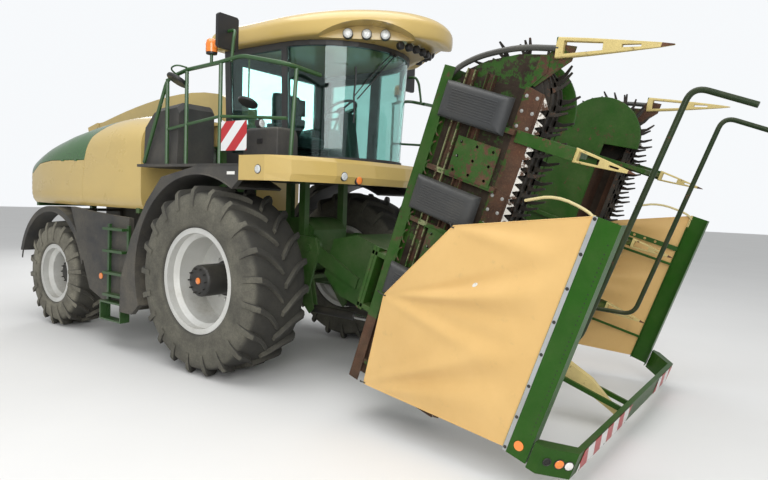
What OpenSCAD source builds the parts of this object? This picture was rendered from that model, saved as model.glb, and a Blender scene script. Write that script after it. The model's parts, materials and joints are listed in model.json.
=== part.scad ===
// Self-propelled forage harvester with a folded six metre maize header and its road guard.
// Millimetres. X points forward, Y to the left, Z up. The ground is at Z = 0.
// Stations are measured from the front axle, and the whole machine is then moved so that
// its length is centred on the origin.

/* [Front wheels] */
// Outer radius of the front tyres, to the tips of the lugs
front_tyre_r = 1000; // [900:10:1080]
// Width of the front tyres
front_tyre_w = 720; // [600:10:800]
// Rim flange radius of the front wheels
front_rim_r = 558; // [500:2:600]
// Distance from the centre plane to the middle of a front tyre
front_track_half = 1190; // [1150:5:1250]

/* [Rear wheels] */
// Outer radius of the rear tyres, to the tips of the lugs
rear_tyre_r = 730; // [680:10:760]
// Width of the rear tyres
rear_tyre_w = 540; // [440:10:580]
// Rim flange radius of the rear wheels
rear_rim_r = 406; // [360:2:440]
// Distance from the centre plane to the middle of a rear tyre
rear_track_half = 1090; // [1060:5:1120]
// Distance between the axles
wheelbase = 3400; // [3300:20:3600]

/* [Frame] */
// Half width over the two frame rails
rail_half_w = 380; // [340:5:385]
// Height of the top of the frame rails
rail_top_z = 1230; // [1180:10:1300]
// Height of a frame rail's section
rail_h = 260; // [200:10:300]

/* [Cab] */
// Half width of the cab at the roof
cab_half_w = 860; // [800:10:900]
// Height of the cab floor's underside
cab_floor_z = 2180; // [2120:10:2240]
// Height of the top of the cab's glass
cab_eave_z = 3540; // [3440:10:3600]
// Height of the roof's crown
cab_roof_z = 3900; // [3800:10:3960]
// Station of the cab's rear wall
cab_rear_x = -420; // [-480:10:-400]
// Thickness of the glass panes
glass_t = 8; // [6:1:12]

/* [Hood] */
// Half width of the hood at its widest section
hood_half_w = 1360; // [1300:10:1400]
// Height of the hood's highest section
hood_top_z = 2900; // [2820:10:2960]
// Height of the hood's lower edge
hood_low_z = 1700; // [1640:10:1720]
// Thickness of the hood panels
panel_t = 30; // [20:2:40]

/* [Spout] */
// Station of the spout's turntable
turret_x = -1300; // [-1340:10:-1260]
// Width of the spout's duct
spout_w = 300; // [240:10:340]

/* [Header] */
// Nose-down tilt of the header and its feed house at rest
header_pitch = 18; // [16:0.5:20]
// Distance from the centre plane to a folded wing's underside
wing_side = 1400; // [1380:10:1440]
// Height of a folded wing's inner end above the ground, along the tilted header
wing_foot = 950; // [920:10:1000]
// Length of a wing from its inner to its outer end
wing_len = 3100; // [2900:20:3200]
// Station of the wing's back wall along the header's own length
wing_back = 1770; // [1760:5:1800]
// Distance from the wing's underside to its top cover
wing_depth = 450; // [400:10:480]
// Distance between the row dividers
row_pitch = 750; // [700:10:760]

/* [Guard] */
// Half width over the guard's upright channels
guard_half_w = 1700; // [1660:10:1740]
// Station of the channels' rear edge along the header's own length
guard_u = 3330; // [3300:10:3380]

/* [Hidden] */

axle_z = front_tyre_r;
rear_axle_z = rear_tyre_r;
rear_x = -wheelbase;
fit = 0.25;
web_y = rail_half_w - 78;
fold_half = 595;

// The header's reach and the tail of the frame set where the middle of the machine is
bar_u = guard_u + 480;
bar_a = 3070;
tail_x = -4760;
nose_trim = 0;
nose_x = bar_u * cos(header_pitch) + (wing_foot + bar_a) * sin(header_pitch) + nose_trim;
origin_x = (nose_x + tail_x) / 2;

green = [0.13, 0.38, 0.10];
beige = [0.85, 0.74, 0.45];
anthracite = [0.22, 0.23, 0.24];
silver = [0.78, 0.78, 0.78];
rubber = [0.15, 0.15, 0.15];
rust = [0.38, 0.22, 0.16];

function unit(v) = v / norm(v);

// Points of an arc in a plane, from angle a0 to a1
function arc(c, r, a0, a1, n) =
    [for (i = [0:n]) c + r * [cos(a0 + (a1 - a0) * i / n), sin(a0 + (a1 - a0) * i / n)]];

// A path whose corners are replaced by short curves that start "cut" from each corner
function bent(path, cut, n = 4) = [
    for (i = [0:len(path) - 1])
        each (i == 0 || i == len(path) - 1) ? [path[i]] :
            let (
                a = path[i] + cut * unit(path[i - 1] - path[i]),
                b = path[i] + cut * unit(path[i + 1] - path[i])
            )
            [for (j = [0:n]) let (t = j / n) (1 - t) * (1 - t) * a + 2 * t * (1 - t) * path[i] + t * t * b]
];

function middle(ring) = [for (k = [0:2]) let (v = [for (p = ring) p[k]]) v * [for (p = ring) 1 / len(ring)]];
function turn(ring) = [for (k = [0:2]) let (v = [for (i = [1:len(ring) - 2]) cross(ring[i] - ring[0], ring[i + 1] - ring[0])[k]]) v * [for (x = v) 1]];
function reversed(ring) = [for (i = [len(ring) - 1:-1:0]) ring[i]];

// A closed solid through rings that all have the same number of points
module skin(sections) {
    n = len(sections[0]);
    m = len(sections);
    rings = turn(sections[0]) * (middle(sections[1]) - middle(sections[0])) > 0 ? sections : [for (r = sections) reversed(r)];
    polyhedron(
        points = [for (r = rings) each r],
        faces = concat(
            [[for (i = [0:n - 1]) i]],
            [for (j = [0:m - 2], i = [0:n - 1])
                let (k = (i + 1) % n)
                each [[j * n + i, (j + 1) * n + i, j * n + k], [j * n + k, (j + 1) * n + i, (j + 1) * n + k]]],
            [[for (i = [n - 1:-1:0]) (m - 1) * n + i]]
        ),
        convexity = 8
    );
}

// A round tube along a path, mitred at each point; "plane" is a direction that the path never takes
module tube(path, r, plane = [0, 1, 0], sides = 8) {
    last = len(path) - 1;
    dirs = [for (i = [0:last - 1]) unit(path[i + 1] - path[i])];
    skin([
        for (i = [0:last])
            let (
                n = unit((i == 0 ? dirs[0] : dirs[i - 1]) + (i == last ? dirs[last - 1] : dirs[i])),
                stretch = 1 / (n * (i == 0 ? dirs[0] : dirs[i - 1])),
                e1 = unit(cross(n, plane)),
                e2 = cross(n, e1)
            )
            [for (k = [0:sides - 1])
                let (a = -360 * (k + 0.5) / sides)
                path[i] + r * (stretch * cos(a) * e1 + sin(a) * e2)]
    ]);
}

module block(lo, hi) translate(lo) cube(hi - lo);

module both_sides() {
    children();
    mirror([0, 1, 0]) children();
}

// A flat shape drawn in X and Z, given a thickness from y0 to y1
module side_plate(y0, y1) translate([0, y1, 0]) rotate([90, 0, 0]) linear_extrude(y1 - y0) children();

module cross_bar(x, z, r, y0, y1) translate([x, y0, z]) rotate([-90, 0, 0]) cylinder(r = r, h = y1 - y0, $fn = 48);

// The header's own frame: u forward and down, w up along the folded wings
module header_frame() rotate([0, header_pitch, 0]) children();
function header_xz(u, w) = [
    u * cos(header_pitch) + w * sin(header_pitch), -u * sin(header_pitch) + w * cos(header_pitch)];

// A wing is drawn lying flat: u forward, Y from its inner to its outer end, Z from its underside up.
// This stands it up on the left side of the machine.
module folded_left() header_frame() translate([0, wing_side, wing_foot]) rotate([90, 0, 0]) children();

// Wheels are drawn with their axle along Z and the outer face up
module wheel_right(x, z, track) translate([x, -track, z]) rotate([90, 0, 0]) children();

spindle_r = 75;
hub_r = 165;
hub_out = 190;
disc_z = -110;
module rim_profile(rim_r, half_w, out) {
    seat = rim_r - 45;
    well = rim_r - 90;
    wall = 10;
    polygon([
        [rim_r, -half_w], [rim_r, -half_w + 10], [seat, -half_w + 12], [seat, -half_w + 70], [well, -half_w + 110],
        [well, half_w - 120], [seat, half_w - 75], [seat, half_w - 12], [rim_r, half_w - 10], [rim_r, half_w],
        [seat - wall, half_w], [seat - wall, half_w - 80], [well - wall, half_w - 125],
        [well - wall, disc_z + 14], [well - 70, disc_z + 16], [hub_r + 80, disc_z + 40], [hub_r, disc_z + 40],
        [hub_r, out - 20], [hub_r - 20, out], [0, out], [0, out - 60], [spindle_r + fit, out - 60],
        [spindle_r + fit, disc_z - 90], [hub_r, disc_z - 90], [hub_r, disc_z + 22], [hub_r + 80, disc_z + 22],
        [well - 70, disc_z], [well - wall, disc_z], [well - wall, -half_w + 115], [seat - wall, -half_w + 75],
        [seat - wall, -half_w]
    ]);
}

module rim(rim_r, half_w, out) {
    color(silver) rotate_extrude($fn = 96) rim_profile(rim_r, half_w, out);
}

// The tyre's cross-section: a thin wall from bead to bead
module tyre_profile(r, w, rim_r) {
    wall = 45;
    bead = rim_r - 45;
    h = w / 2;
    polygon([
        [bead + fit, h - 62], [rim_r - 6, h - 43.5], [rim_r + 1, h - 43.5], [rim_r + 1, h - 28], [rim_r + 14, h - 6], [rim_r + 40, h + 6], [r - 220, h + 10], [r - 110, h],
        [r - 55, h - 20], [r - 12, h - 50], [r, h * 0.5], [r, -h * 0.5], [r - 12, 50 - h], [r - 55, 20 - h], [r - 110, -h],
        [r - 220, -h - 10], [rim_r + 40, -h - 6], [rim_r + 14, 6 - h], [rim_r + 1, 28 - h], [rim_r + 1, 43.5 - h], [rim_r - 6, 43.5 - h], [bead + fit, 62 - h],
        [bead + fit, 62 + wall - h], [r - 220, wall - h - 10], [r - 110 - wall, wall - h],
        [r - 60 - wall, wall + 20 - h], [r - 50 - wall, 0], [r - 60 - wall, h - 20 - wall], [r - 110 - wall, h - wall],
        [r - 220, h + 10 - wall], [bead + fit, h - 62 - wall]
    ]);
}

module tyre(r, w, rim_r) {
    color(rubber) rotate_extrude($fn = 96) tyre_profile(r, w, rim_r);
}

front_hub_out = front_tyre_w / 2 - 60;
rear_hub_out = 60;
module front_rim() wheel_right(0, axle_z, front_track_half) rim(front_rim_r, front_tyre_w / 2 - 30, front_hub_out);
module front_tyre() wheel_right(0, axle_z, front_track_half) tyre(front_tyre_r, front_tyre_w, front_rim_r);
module rear_rim() wheel_right(rear_x, rear_axle_z, rear_track_half) rim(rear_rim_r, rear_tyre_w / 2 - 30, rear_hub_out);
module rear_tyre() wheel_right(rear_x, rear_axle_z, rear_track_half) tyre(rear_tyre_r, rear_tyre_w, rear_rim_r);

lift_x = 600;
lift_z = 1350;
feed_half_w = 440;
drum_r = 330;
hitch_r = 16;
hitch_z = 820;
barrel_foot_x = 520;
barrel_foot_z = 640;
lift_y = 300;
pivot_pin_r = 45;
module main_frame() {
    rail_low = rail_top_z - rail_h;
    rear_end = tail_x + 500;
    color(green) difference() {
        union() {
            both_sides() difference() {
                block([rear_end, rail_half_w - 90, rail_low], [lift_x - 100, rail_half_w, rail_top_z]);
                block([rear_end + 20, web_y, rail_low + 12], [lift_x - 130, rail_half_w + 1, rail_top_z - 12]);
            }
            for (x = [rear_end, rear_x - 300, rear_x + 300, -2300, -1620, -700, -200])
                block([x, -rail_half_w + 90, rail_low + 30], [x + 80, rail_half_w - 90, rail_top_z - 30]);
            // hitch plate behind the rails
            block([tail_x, -60, hitch_z - 50], [rear_end + 40, 60, hitch_z + 50]);
            block([rear_end, -200, hitch_z - 120], [rear_end + 30, 200, rail_top_z - 30]);
            // ears that carry the feed house
            both_sides() side_plate(feed_half_w + fit, feed_half_w + 32) polygon([
                [150, rail_low], [lift_x, rail_low - 140], [lift_x + 140, lift_z - 60], [lift_x + 100, lift_z + 120],
                [lift_x - 60, lift_z + 130], [150, rail_top_z + 250]]);
            both_sides() block([150, rail_half_w - 90, rail_low], [230, feed_half_w + 10, rail_top_z]);
            // brackets for the lift cylinders
            for (s = [-1, 1]) translate([0, s * lift_y, 0]) for (y = [-45, 25])
                side_plate(y, y + 20) polygon([
                    [180, rail_low + 40], [500, rail_low + 40], [barrel_foot_x + 60, barrel_foot_z],
                    [barrel_foot_x, barrel_foot_z - 60], [barrel_foot_x - 60, barrel_foot_z]]);
            block([180, -lift_y - 45, rail_low], [480, lift_y + 45, lift_z - drum_r - 5]);
        }
        translate([tail_x + 45, 0, hitch_z - 60]) cylinder(r = hitch_r, h = 120, $fn = 48);
        translate([tail_x - 1, -61, hitch_z - 18]) cube([110, 122, 36]);
    }
    color(silver) both_sides() cross_bar(lift_x, lift_z, pivot_pin_r, feed_half_w - 30, feed_half_w + 60);
    color(silver) for (s = [-1, 1]) translate([0, s * lift_y, 0]) cross_bar(barrel_foot_x, barrel_foot_z, 20, -45, 45);
}

// Closed housing of the chopping drum, its chute, and the discharge tower up to the spout's turntable
module drum_housing() color(green) {
    inner = rail_half_w - 90 - fit;
    difference() {
        cross_bar(240, lift_z, drum_r, -inner, inner);
        block([240 + drum_r - 60, -rail_half_w, lift_z - drum_r], [700, rail_half_w, lift_z + drum_r]);
    }
    both_sides() block([-200, inner - 20, rail_top_z - 30 + fit], [200, inner, lift_z + 250]);
    block([turret_x + 150, -150, rail_top_z + 10], [100, 150, rail_top_z + 220]);
    difference() {
        translate([turret_x, 0, rail_top_z - 60]) cylinder(r = 205, h = turret_z - 300 - fit - rail_top_z + 60, $fn = 64);
        translate([turret_x, 0, rail_top_z - 40]) cylinder(r = 195, h = 3000, $fn = 64);
    }
    translate([turret_x, 0, turret_z - 320]) difference() {
        cylinder(r = 250, h = 20 - fit, $fn = 64);
        translate([0, 0, -1]) cylinder(r = 195, h = 30, $fn = 64);
    }
    block([turret_x - 60, -inner, rail_top_z - 90], [turret_x + 60, inner, rail_top_z - 50]);
}

// Posts on the frame rails that carry the hood's lower edge and the deck
support_x = [tail_x + 510, -1480];
module body_supports() color(green) both_sides() {
    for (x = support_x) {
        block([x, web_y, rail_top_z + fit], [x + 70, rail_half_w, hood_low_z - 20]);
        block([x, web_y, hood_low_z - 50], [x + 70, hood_half_w * (x < -3000 ? 0.9 : 0.98) - 40, hood_low_z + 10 - fit]);
    }
    for (x = [-550, 350]) block([x, web_y, rail_top_z + fit], [x + 90, rail_half_w, deck_z - 60 - fit]);
}

engine_half_w = rail_half_w - 50;
engine_x = support_x[0] + 400;
engine_len = 1150;
module engine_block() color("dimgray") block([engine_x, -engine_half_w, rail_top_z + fit], [engine_x + engine_len, engine_half_w, rail_top_z + 920]);

module front_axle() {
    color(green) {
        block([-130, -rail_half_w - 61, axle_z - 150], [130, rail_half_w + 61, rail_top_z - rail_h - fit]);
        both_sides() {
            block([-150, rail_half_w + 60, axle_z - 200], [150, rail_half_w + 110, axle_z + 190]);
            cross_bar(0, axle_z, 190, rail_half_w + 100, front_track_half + disc_z - 95);
        }
    }
    color(silver) both_sides() cross_bar(0, axle_z, spindle_r, rail_half_w + 60, front_track_half + front_hub_out - 70);
}

kingpin_y = 800;
kingpin_r = 40;
// Depth of the steering arm's top below the axle's middle
arm_top = 40;
module rear_axle() {
    color(green) difference() {
        union() {
            difference() {
                block([rear_x - 95, -kingpin_y + 70, rear_axle_z - 90], [rear_x + 95, kingpin_y - 70, rear_axle_z + 90]);
                both_sides() block([rear_x - 96, 260, rear_axle_z - 100], [rear_x + 96, 620, rear_axle_z - 40]);
            }
            block([rear_x - 140, -rail_half_w, rear_axle_z + 80], [rear_x + 140, rail_half_w, rail_top_z - rail_h - fit]);
            both_sides() {
                block([rear_x - 70, kingpin_y - 90, rear_axle_z + 91], [rear_x + 70, kingpin_y + 60, rear_axle_z + 130]);
                block([rear_x - 70, kingpin_y - 90, rear_axle_z - 130], [rear_x + 70, kingpin_y + 60, rear_axle_z - 91]);
                block([rear_x - 70, kingpin_y - 90, rear_axle_z - 130], [rear_x + 70, kingpin_y - 65, rear_axle_z + 130]);
            }
        }
        // pockets in which the steering arms swing
        both_sides() block([rear_x - 100, 600, rear_axle_z - arm_top - 46], [rear_x - 25, kingpin_y, rear_axle_z - arm_top + 6]);
    }
    color(silver) both_sides() translate([rear_x, kingpin_y, rear_axle_z - 140])
        cylinder(r = kingpin_r, h = 280, $fn = 48);
}

module knuckle_right() {
    color(green) difference() {
        union() {
            translate([rear_x, -kingpin_y, rear_axle_z - 90.5]) cylinder(r = 62, h = 181, $fn = 48);
            cross_bar(rear_x, rear_axle_z, 85, -(rear_track_half + disc_z - 95), -kingpin_y - 30);
            block([rear_x - 320, -kingpin_y - 30, rear_axle_z - arm_top - 40], [rear_x - 30, -kingpin_y + 30, rear_axle_z - arm_top]);
        }
        translate([rear_x, -kingpin_y, rear_axle_z - 100]) cylinder(r = kingpin_r + 0.05, h = 200, $fn = 48);
    }
    color(silver) cross_bar(rear_x, rear_axle_z, spindle_r, -(rear_track_half + rear_hub_out - 70), -kingpin_y - 70);
}

// Front wheel arches: a moulded side with the deck's edge on top
arch_r = front_tyre_r + 110;
fender_out = 1530;
deck_z = 2150;
module front_fenders() {
    color(anthracite) both_sides() difference() {
        side_plate(872, fender_out) difference() {
            polygon([
                [640, deck_z - 90], [640, deck_z + 43 - fit], [-60, deck_z + 40], [-620, deck_z - 70], [-900, deck_z - 350],
                [-1200, deck_z - 780], [-1400, 900], [-1430, 480], [-1180, 480]]);
            translate([0, axle_z]) circle(r = arch_r, $fn = 96);
        }
        side_plate(871, fender_out - 60) difference() {
            polygon([
                [700, deck_z - 200], [700, deck_z - 15], [-60, deck_z - 20], [-570, deck_z - 130], [-840, deck_z - 390],
                [-1140, deck_z - 820], [-1340, 890], [-1370, 400], [-1000, 400]]);
            translate([0, axle_z]) circle(r = arch_r + 30, $fn = 96);
        }
    }
}

rear_arch_r = 860;
skirt_out = 1390;
module rear_fenders() {
    color(anthracite) both_sides() {
        side_plate(skirt_out - 260, skirt_out) difference() {
            translate([rear_x, rear_axle_z]) circle(r = rear_arch_r + 75, $fn = 96);
            translate([rear_x, rear_axle_z]) circle(r = rear_arch_r, $fn = 96);
            translate([rear_x - 1000, -400]) square([2000, rear_axle_z + 660]);
        }
        side_plate(skirt_out - 60, skirt_out) difference() {
            polygon([
                [rear_x + 880, rear_axle_z + 250], [rear_x + 560, hood_low_z - 20], [-2250, hood_low_z - 70],
                [-1460, hood_low_z - 110], [-1460, 520], [-1950, 500], [rear_x + 1040, 640]]);
            translate([rear_x, rear_axle_z]) circle(r = rear_arch_r + 20, $fn = 96);
        }
        // brackets from the frame to the skirt
        for (x = [-2300, -1700]) block([x, web_y + fit, 1150], [x + 60, skirt_out - 58, 1210]);
        block([rear_x - 30, engine_half_w + 5, rail_top_z + fit], [rear_x + 30, rail_half_w, 1640]);
        block([rear_x - 30, engine_half_w + 5, 1600], [rear_x + 30, skirt_out - 250, 1640]);
    }
}

// The front panel's outer line, with how far each point bulges, and its inner line
panel_line = [[1000, -1530, 0], [1200, -1400, 0.6], [1400, -1000, 1], [1490, -500, 1], [1520, 0, 1],
    [1490, 500, 1], [1400, 1000, 1], [1200, 1400, 0.6], [1000, 1530, 0]];
panel_inner = [[600, 1490], [980, 1490], [1150, 1350], [1320, 960], [1410, 480], [1440, 0],
    [1410, -480], [1320, -960], [1150, -1350], [980, -1490], [600, -1490]];
module deck() {
    color(anthracite) {
        both_sides() translate([0, 0, deck_z + 43]) linear_extrude(30) polygon([
            [-1150, cab_half_w + 2], [-1150, fender_out - 40 - fit], [980 - fit, fender_out - 40 - fit], [1150 - fit, 1350 - fit],
            [1320 - 2 * fit, 960], [1320, cab_half_w + 2]]);
        translate([0, 0, deck_z - 60]) linear_extrude(cab_floor_z - fit - deck_z + 60) polygon([
            [-560, -870], [-560, 870], [1330, 870], [1410 - 1, 480], [1440 - 1, 0], [1410 - 1, -480], [1330, -870]]);
        both_sides() block([-560, 841, deck_z - 60], [1320, 870, deck_z + 44]);
    }
}

module storage_boxes() color(anthracite) both_sides() {
    skin([for (s = [[-1130.5, 380, 60], [-1130, 420, 60], [-960, 580, 90], [-540, 620, 90], [-500, 560, 60]])
        [for (p = [[930, 0], [930, s[1] + 40], [960, s[1] + 60], [1320, s[1] + 60], [1400, s[1]], [1420, 0]])
            [s[0], p[0], deck_z + 73 + fit + p[1]]]]);
}

// A wide moulded beam that wraps the front corners
module front_panel() color(beige) difference() {
    skin([for (s = [[deck_z - 90, 0], [deck_z - 20, 40], [deck_z + 110, 30], [deck_z + 150, -10]])
        concat(
            [[640, -fender_out, s[0]]],
            [for (p = panel_line) [p[0] + s[1] * p[2], p[1], s[0]]],
            [[640, fender_out, s[0]]])]);
    translate([0, 0, deck_z - 100]) linear_extrude(300) polygon(panel_inner);
}

rail_r = 21;
rail_y = 1450;
// Stations of the mirrors and of the beacons, right and left
mirror_x = [250, 620];
beacon_x = [100, 430];
floor_z = deck_z + 73 + fit;
module front_rail(x0) {
    tube(bent([[1140, rail_y - 500, 3120], [1180, rail_y, 3130], [560, rail_y, 3270], [x0, rail_y, 3240]], 90), rail_r, [0, 0.5, 1]);
    tube([[1115, rail_y - 140, floor_z], [1115, rail_y - 140, floor_z + 60], [1168, rail_y - 140, 3120]], rail_r);
    tube([[x0 + 20, rail_y, floor_z], [x0 + 20, rail_y, 3225]], rail_r);
    tube([[1165, rail_y - 30, 2640], [x0 + 20, rail_y, 2700]], rail_r - 5);
}
module rear_rail(x0) {
    tube(bent([[x0, rail_y, 3215], [-640, rail_y, 3150], [-1070, rail_y, floor_z + 20]], 90), rail_r);
    tube([[x0 - 10, rail_y, floor_z], [x0 - 10, rail_y, 3200]], rail_r);
    tube([[-640, rail_y, floor_z], [-640, rail_y, 3145]], rail_r);
    tube([[-650, rail_y, 2600], [x0 - 10, rail_y, 2640]], rail_r - 5);
}
// Four rungs between two stiles, with a box step at the foot, held by the skirt
module ladder() {
    y0 = skirt_out + fit;
    for (x = [-1900, -1480])
        side_plate(y0, y0 + 30) polygon([[x, 330], [x + 40, 330], [x + 60, 1500], [x + 20, 1500]]);
    for (i = [0:3]) block([-1880, y0, 620 + i * 270], [-1450, y0 + 100, 650 + i * 270]);
    difference() {
        block([-1900, y0, 330], [-1440, y0 + 120, 562]);
        block([-1880, y0 - 1, 350], [-1460, y0 + 121, 542]);
    }
}
module ladders() color(green) both_sides() ladder();
module mirror_arm_and_post(m, b) {
    translate([m, rail_y - 80, 0])
        tube(bent([[160, 80, 3225], [140, 40, 3480], [110, 0, 3560], [10 + fit, 0, 3560]], 40), 16, [0, 1, 0.1]);
    translate([b, rail_y, 3235]) cylinder(r = 16, h = 115, $fn = 24);
}
module rails_right() mirror([0, 1, 0]) color(green) {
    front_rail(230);
    rear_rail(-290);
    tube([[240, rail_y, 3238], [-300, rail_y, 3214]], rail_r);
    tube([[250, rail_y, 2700], [-300, rail_y, 2640]], rail_r - 5);
    mirror_arm_and_post(mirror_x[0], beacon_x[0]);
}
// The left side leaves room for the cab door to swing
module rails_left() color(green) {
    front_rail(330);
    rear_rail(-330);
    mirror_arm_and_post(mirror_x[1], beacon_x[1]);
}

// Hood sections: station, half width, top height, side height where the roof's curve begins
hood_sections = [
    [-4480, 0.70, 2180, 1900],
    [-4400, 0.86, 2330, 2000],
    [-4150, 0.95, 2480, 2100],
    [-3700, 0.99, 2620, 2220],
    [-3200, 1.0, 2740, 2310],
    [-2500, 1.0, 2850, 2400],
    [-1900, 1.0, 2895, 2450],
    [-1320, 0.98, 2900, 2450]
];
// A hood section as a ring, drawn "inset" inside its outer face
function hood_ring(s, inset) =
    let (
        hw = s[1] * hood_half_w - inset,
        top = s[2] + hood_top_z - 2900 - inset,
        side = s[3],
        round_steps = 7
    )
    concat(
        [[s[0], -hw + 60, hood_low_z - 1], [s[0], -hw, hood_low_z + 200]],
        [for (i = [0:round_steps])
            let (a = 90 * i / round_steps)
            [s[0], -(hw * (0.45 + 0.55 * pow(cos(a), 0.9))) * (i == round_steps ? 0.9 : 1), side + (top - side) * pow(sin(a), 0.9)]],
        [for (i = [round_steps:-1:0])
            let (a = 90 * i / round_steps)
            [s[0], hw * (0.45 + 0.55 * pow(cos(a), 0.9)) * (i == round_steps ? 0.9 : 1), side + (top - side) * pow(sin(a), 0.9)]],
        [[s[0], hw, hood_low_z + 200], [s[0], hw - 60, hood_low_z - 1]]
    );

module hood_shell() difference() {
    skin([for (s = hood_sections) hood_ring(s, 0)]);
    skin([for (s = hood_sections)
        hood_ring([s[0] + (s[0] < -4450 ? panel_t : s[0] > -1400 ? -panel_t : 0), s[1], s[2], s[3]], panel_t)]);
    translate([-5000, -2000, hood_low_z - 10]) cube([4000, 4000, 20]);
    translate([turret_x, 0, hood_low_z]) cylinder(r = 345, h = 2000, $fn = 64);
}

// The outline of a side flap, which is also the hole that it closes
flap_front_x = -2550;
flap_rear_x = -4130;
flap_top_z = 2290;
flap_hinges = [-2800, -3150];
// A hinge barrel on the hood's skin, half for the hood and half for the flap
module flap_barrel(x, r, dx) translate([x, hood_half_w + 2, flap_top_z + 2]) rotate([0, 90, 0]) cylinder(r = r, h = dx, $fn = 32);
module flap_outline(gap) offset(delta = -gap) polygon(concat(
    [[flap_rear_x, hood_low_z - 40], [flap_rear_x + 30, flap_top_z - 170], [flap_rear_x + 300, flap_top_z - 40],
     [flap_rear_x + 700, flap_top_z]],
    [[flap_front_x - 14, flap_top_z], [flap_front_x - 14, flap_top_z - 60], [flap_front_x - 60, flap_top_z - 300],
     [flap_front_x - 60, hood_low_z - 40]]));

split_x = flap_front_x - 10;
module top_zone() translate([0, 2000, 0]) rotate([90, 0, 0]) linear_extrude(4000) polygon([
    [flap_rear_x - 700, flap_top_z - 206], [flap_rear_x + 30, flap_top_z - 166], [flap_rear_x + 300, flap_top_z - 36],
    [flap_rear_x + 700, flap_top_z + 4], [split_x - 4, flap_top_z + 4], [split_x + 120, 2600], [split_x + 420, 2840],
    [-1200, 2840], [-1200, 3100], [-5000, 3100]]);

module hood_top() color(green) {
    difference() {
        intersection() {
            hood_shell();
            top_zone();
        }
        both_sides() for (x = flap_hinges) flap_barrel(x + 30 - 1, 15, 32);
    }
    both_sides() for (x = flap_hinges) {
        flap_barrel(x, 12, 30);
        flap_barrel(x, 6, 58);
        block([x, hood_half_w - 8, flap_top_z + 2], [x + 30, hood_half_w + 8, flap_top_z + 20]);
    }
}

module hood_rear() color(beige) difference() {
    hood_shell();
    under_the_top();
    side_plate(-2000, 2000) offset(delta = 4) flap_outline(0);
    // air slots in the tail
    for (i = [0:4]) side_plate(-2000, 2000) translate([flap_rear_x - 190, 1780 + i * 75]) square([150, 26]);
    for (i = [0:5]) block([-4700, -560, 1760 + i * 70], [-4300, 560, 1790 + i * 70]);
}
module under_the_top() translate([0, 0, -fit]) top_zone();

module side_flap_left() color(beige) difference() {
    union() {
        difference() {
            intersection() {
                hood_shell();
                side_plate(500, 2000) flap_outline(0);
            }
            for (x = flap_hinges) flap_barrel(x - 1, 15, 32);
        }
        for (x = flap_hinges) {
            flap_barrel(x + 30 + fit, 12, 28);
            block([x + 30 + fit, hood_half_w - 8, flap_top_z - 16], [x + 58 + fit, hood_half_w + 8, flap_top_z]);
        }
    }
    for (x = flap_hinges) flap_barrel(x + 28, 6.05, 40);
}

// The cab's outline: flat sides and rear, round front. "grow" moves it outwards.
cab_front_r = cab_half_w;
cab_nose_x = 500;
function cab_ring(grow, z, lean = 1) =
    let (hw = (cab_half_w + grow) * lean)
    concat(
        [[cab_rear_x - grow, hw, z], [cab_rear_x - grow, -hw, z]],
        [for (i = [0:16]) let (a = -90 + 180 * i / 16) [cab_nose_x + (hw + 20) * cos(a), hw * sin(a), z]]
    );
// Width of the cab at a height: it narrows towards the floor
function cab_lean(z) = 0.93 + 0.07 * (z - cab_floor_z) / (cab_eave_z - cab_floor_z);
module cab_solid(inset, z0, z1) skin([for (z = [z1, z0]) cab_ring(-inset, z, cab_lean(z))]);
module cab_wall(t, inset, z0, z1) difference() {
    cab_solid(inset, z0, z1);
    cab_solid(inset + t, z0 - 1, z1 + 1);
}

sill_z = cab_floor_z + 170;
door_x0 = cab_rear_x + 90;
door_x1 = cab_nose_x - 10;
pillar = 70;
module cab_frame() color(anthracite) difference() {
    union() {
        cab_wall(60, 0, cab_floor_z, cab_eave_z);
        cab_solid(30, cab_floor_z, cab_floor_z + 60);
    }
    // windscreen, right window, rear window and door opening
    difference() {
        block([cab_nose_x + 60, -1200, sill_z], [1800, 1200, cab_eave_z - 50]);
        block([cab_nose_x, -1300, 0], [cab_nose_x + 61, 1300, 5000]);
    }
    block([cab_rear_x + 90, -1200, sill_z + 40], [cab_nose_x - 10, -500, cab_eave_z - 70]);
    block([cab_rear_x - 100, -640, sill_z + 300], [cab_rear_x + 80, 640, cab_eave_z - 120]);
    block([door_x0, 500, cab_floor_z + 60 + fit], [door_x1, 1200, cab_eave_z - 60]);
    for (z = door_hinges) door_barrel(z + 38, 18, 42);
}
module cab_door_hinges() color("black") for (z = door_hinges) {
    door_barrel(z, 13, 40);
    door_barrel(z, 7, 78);
    block([door_hinge_x - 40, door_hinge_y - 60, z], [door_hinge_x, door_hinge_y + 10, z + 40]);
}

module cab_glass() color("lightblue", 0.4) {
    intersection() {
        cab_wall(glass_t, 20, cab_floor_z, cab_eave_z);
        block([cab_nose_x + 61 + fit, -1200, sill_z + fit], [1800, 1200, cab_eave_z - 50 - fit]);
    }
    intersection() {
        cab_wall(glass_t, 20, cab_floor_z, cab_eave_z);
        block([cab_rear_x + 90 + fit, -1200, sill_z + 40 + fit], [cab_nose_x - 10 - fit, -500, cab_eave_z - 70 - fit]);
    }
    block([cab_rear_x + 20, -640 + fit, sill_z + 300 + fit], [cab_rear_x + 20 + glass_t, 640 - fit, cab_eave_z - 120 - fit]);
}

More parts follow.
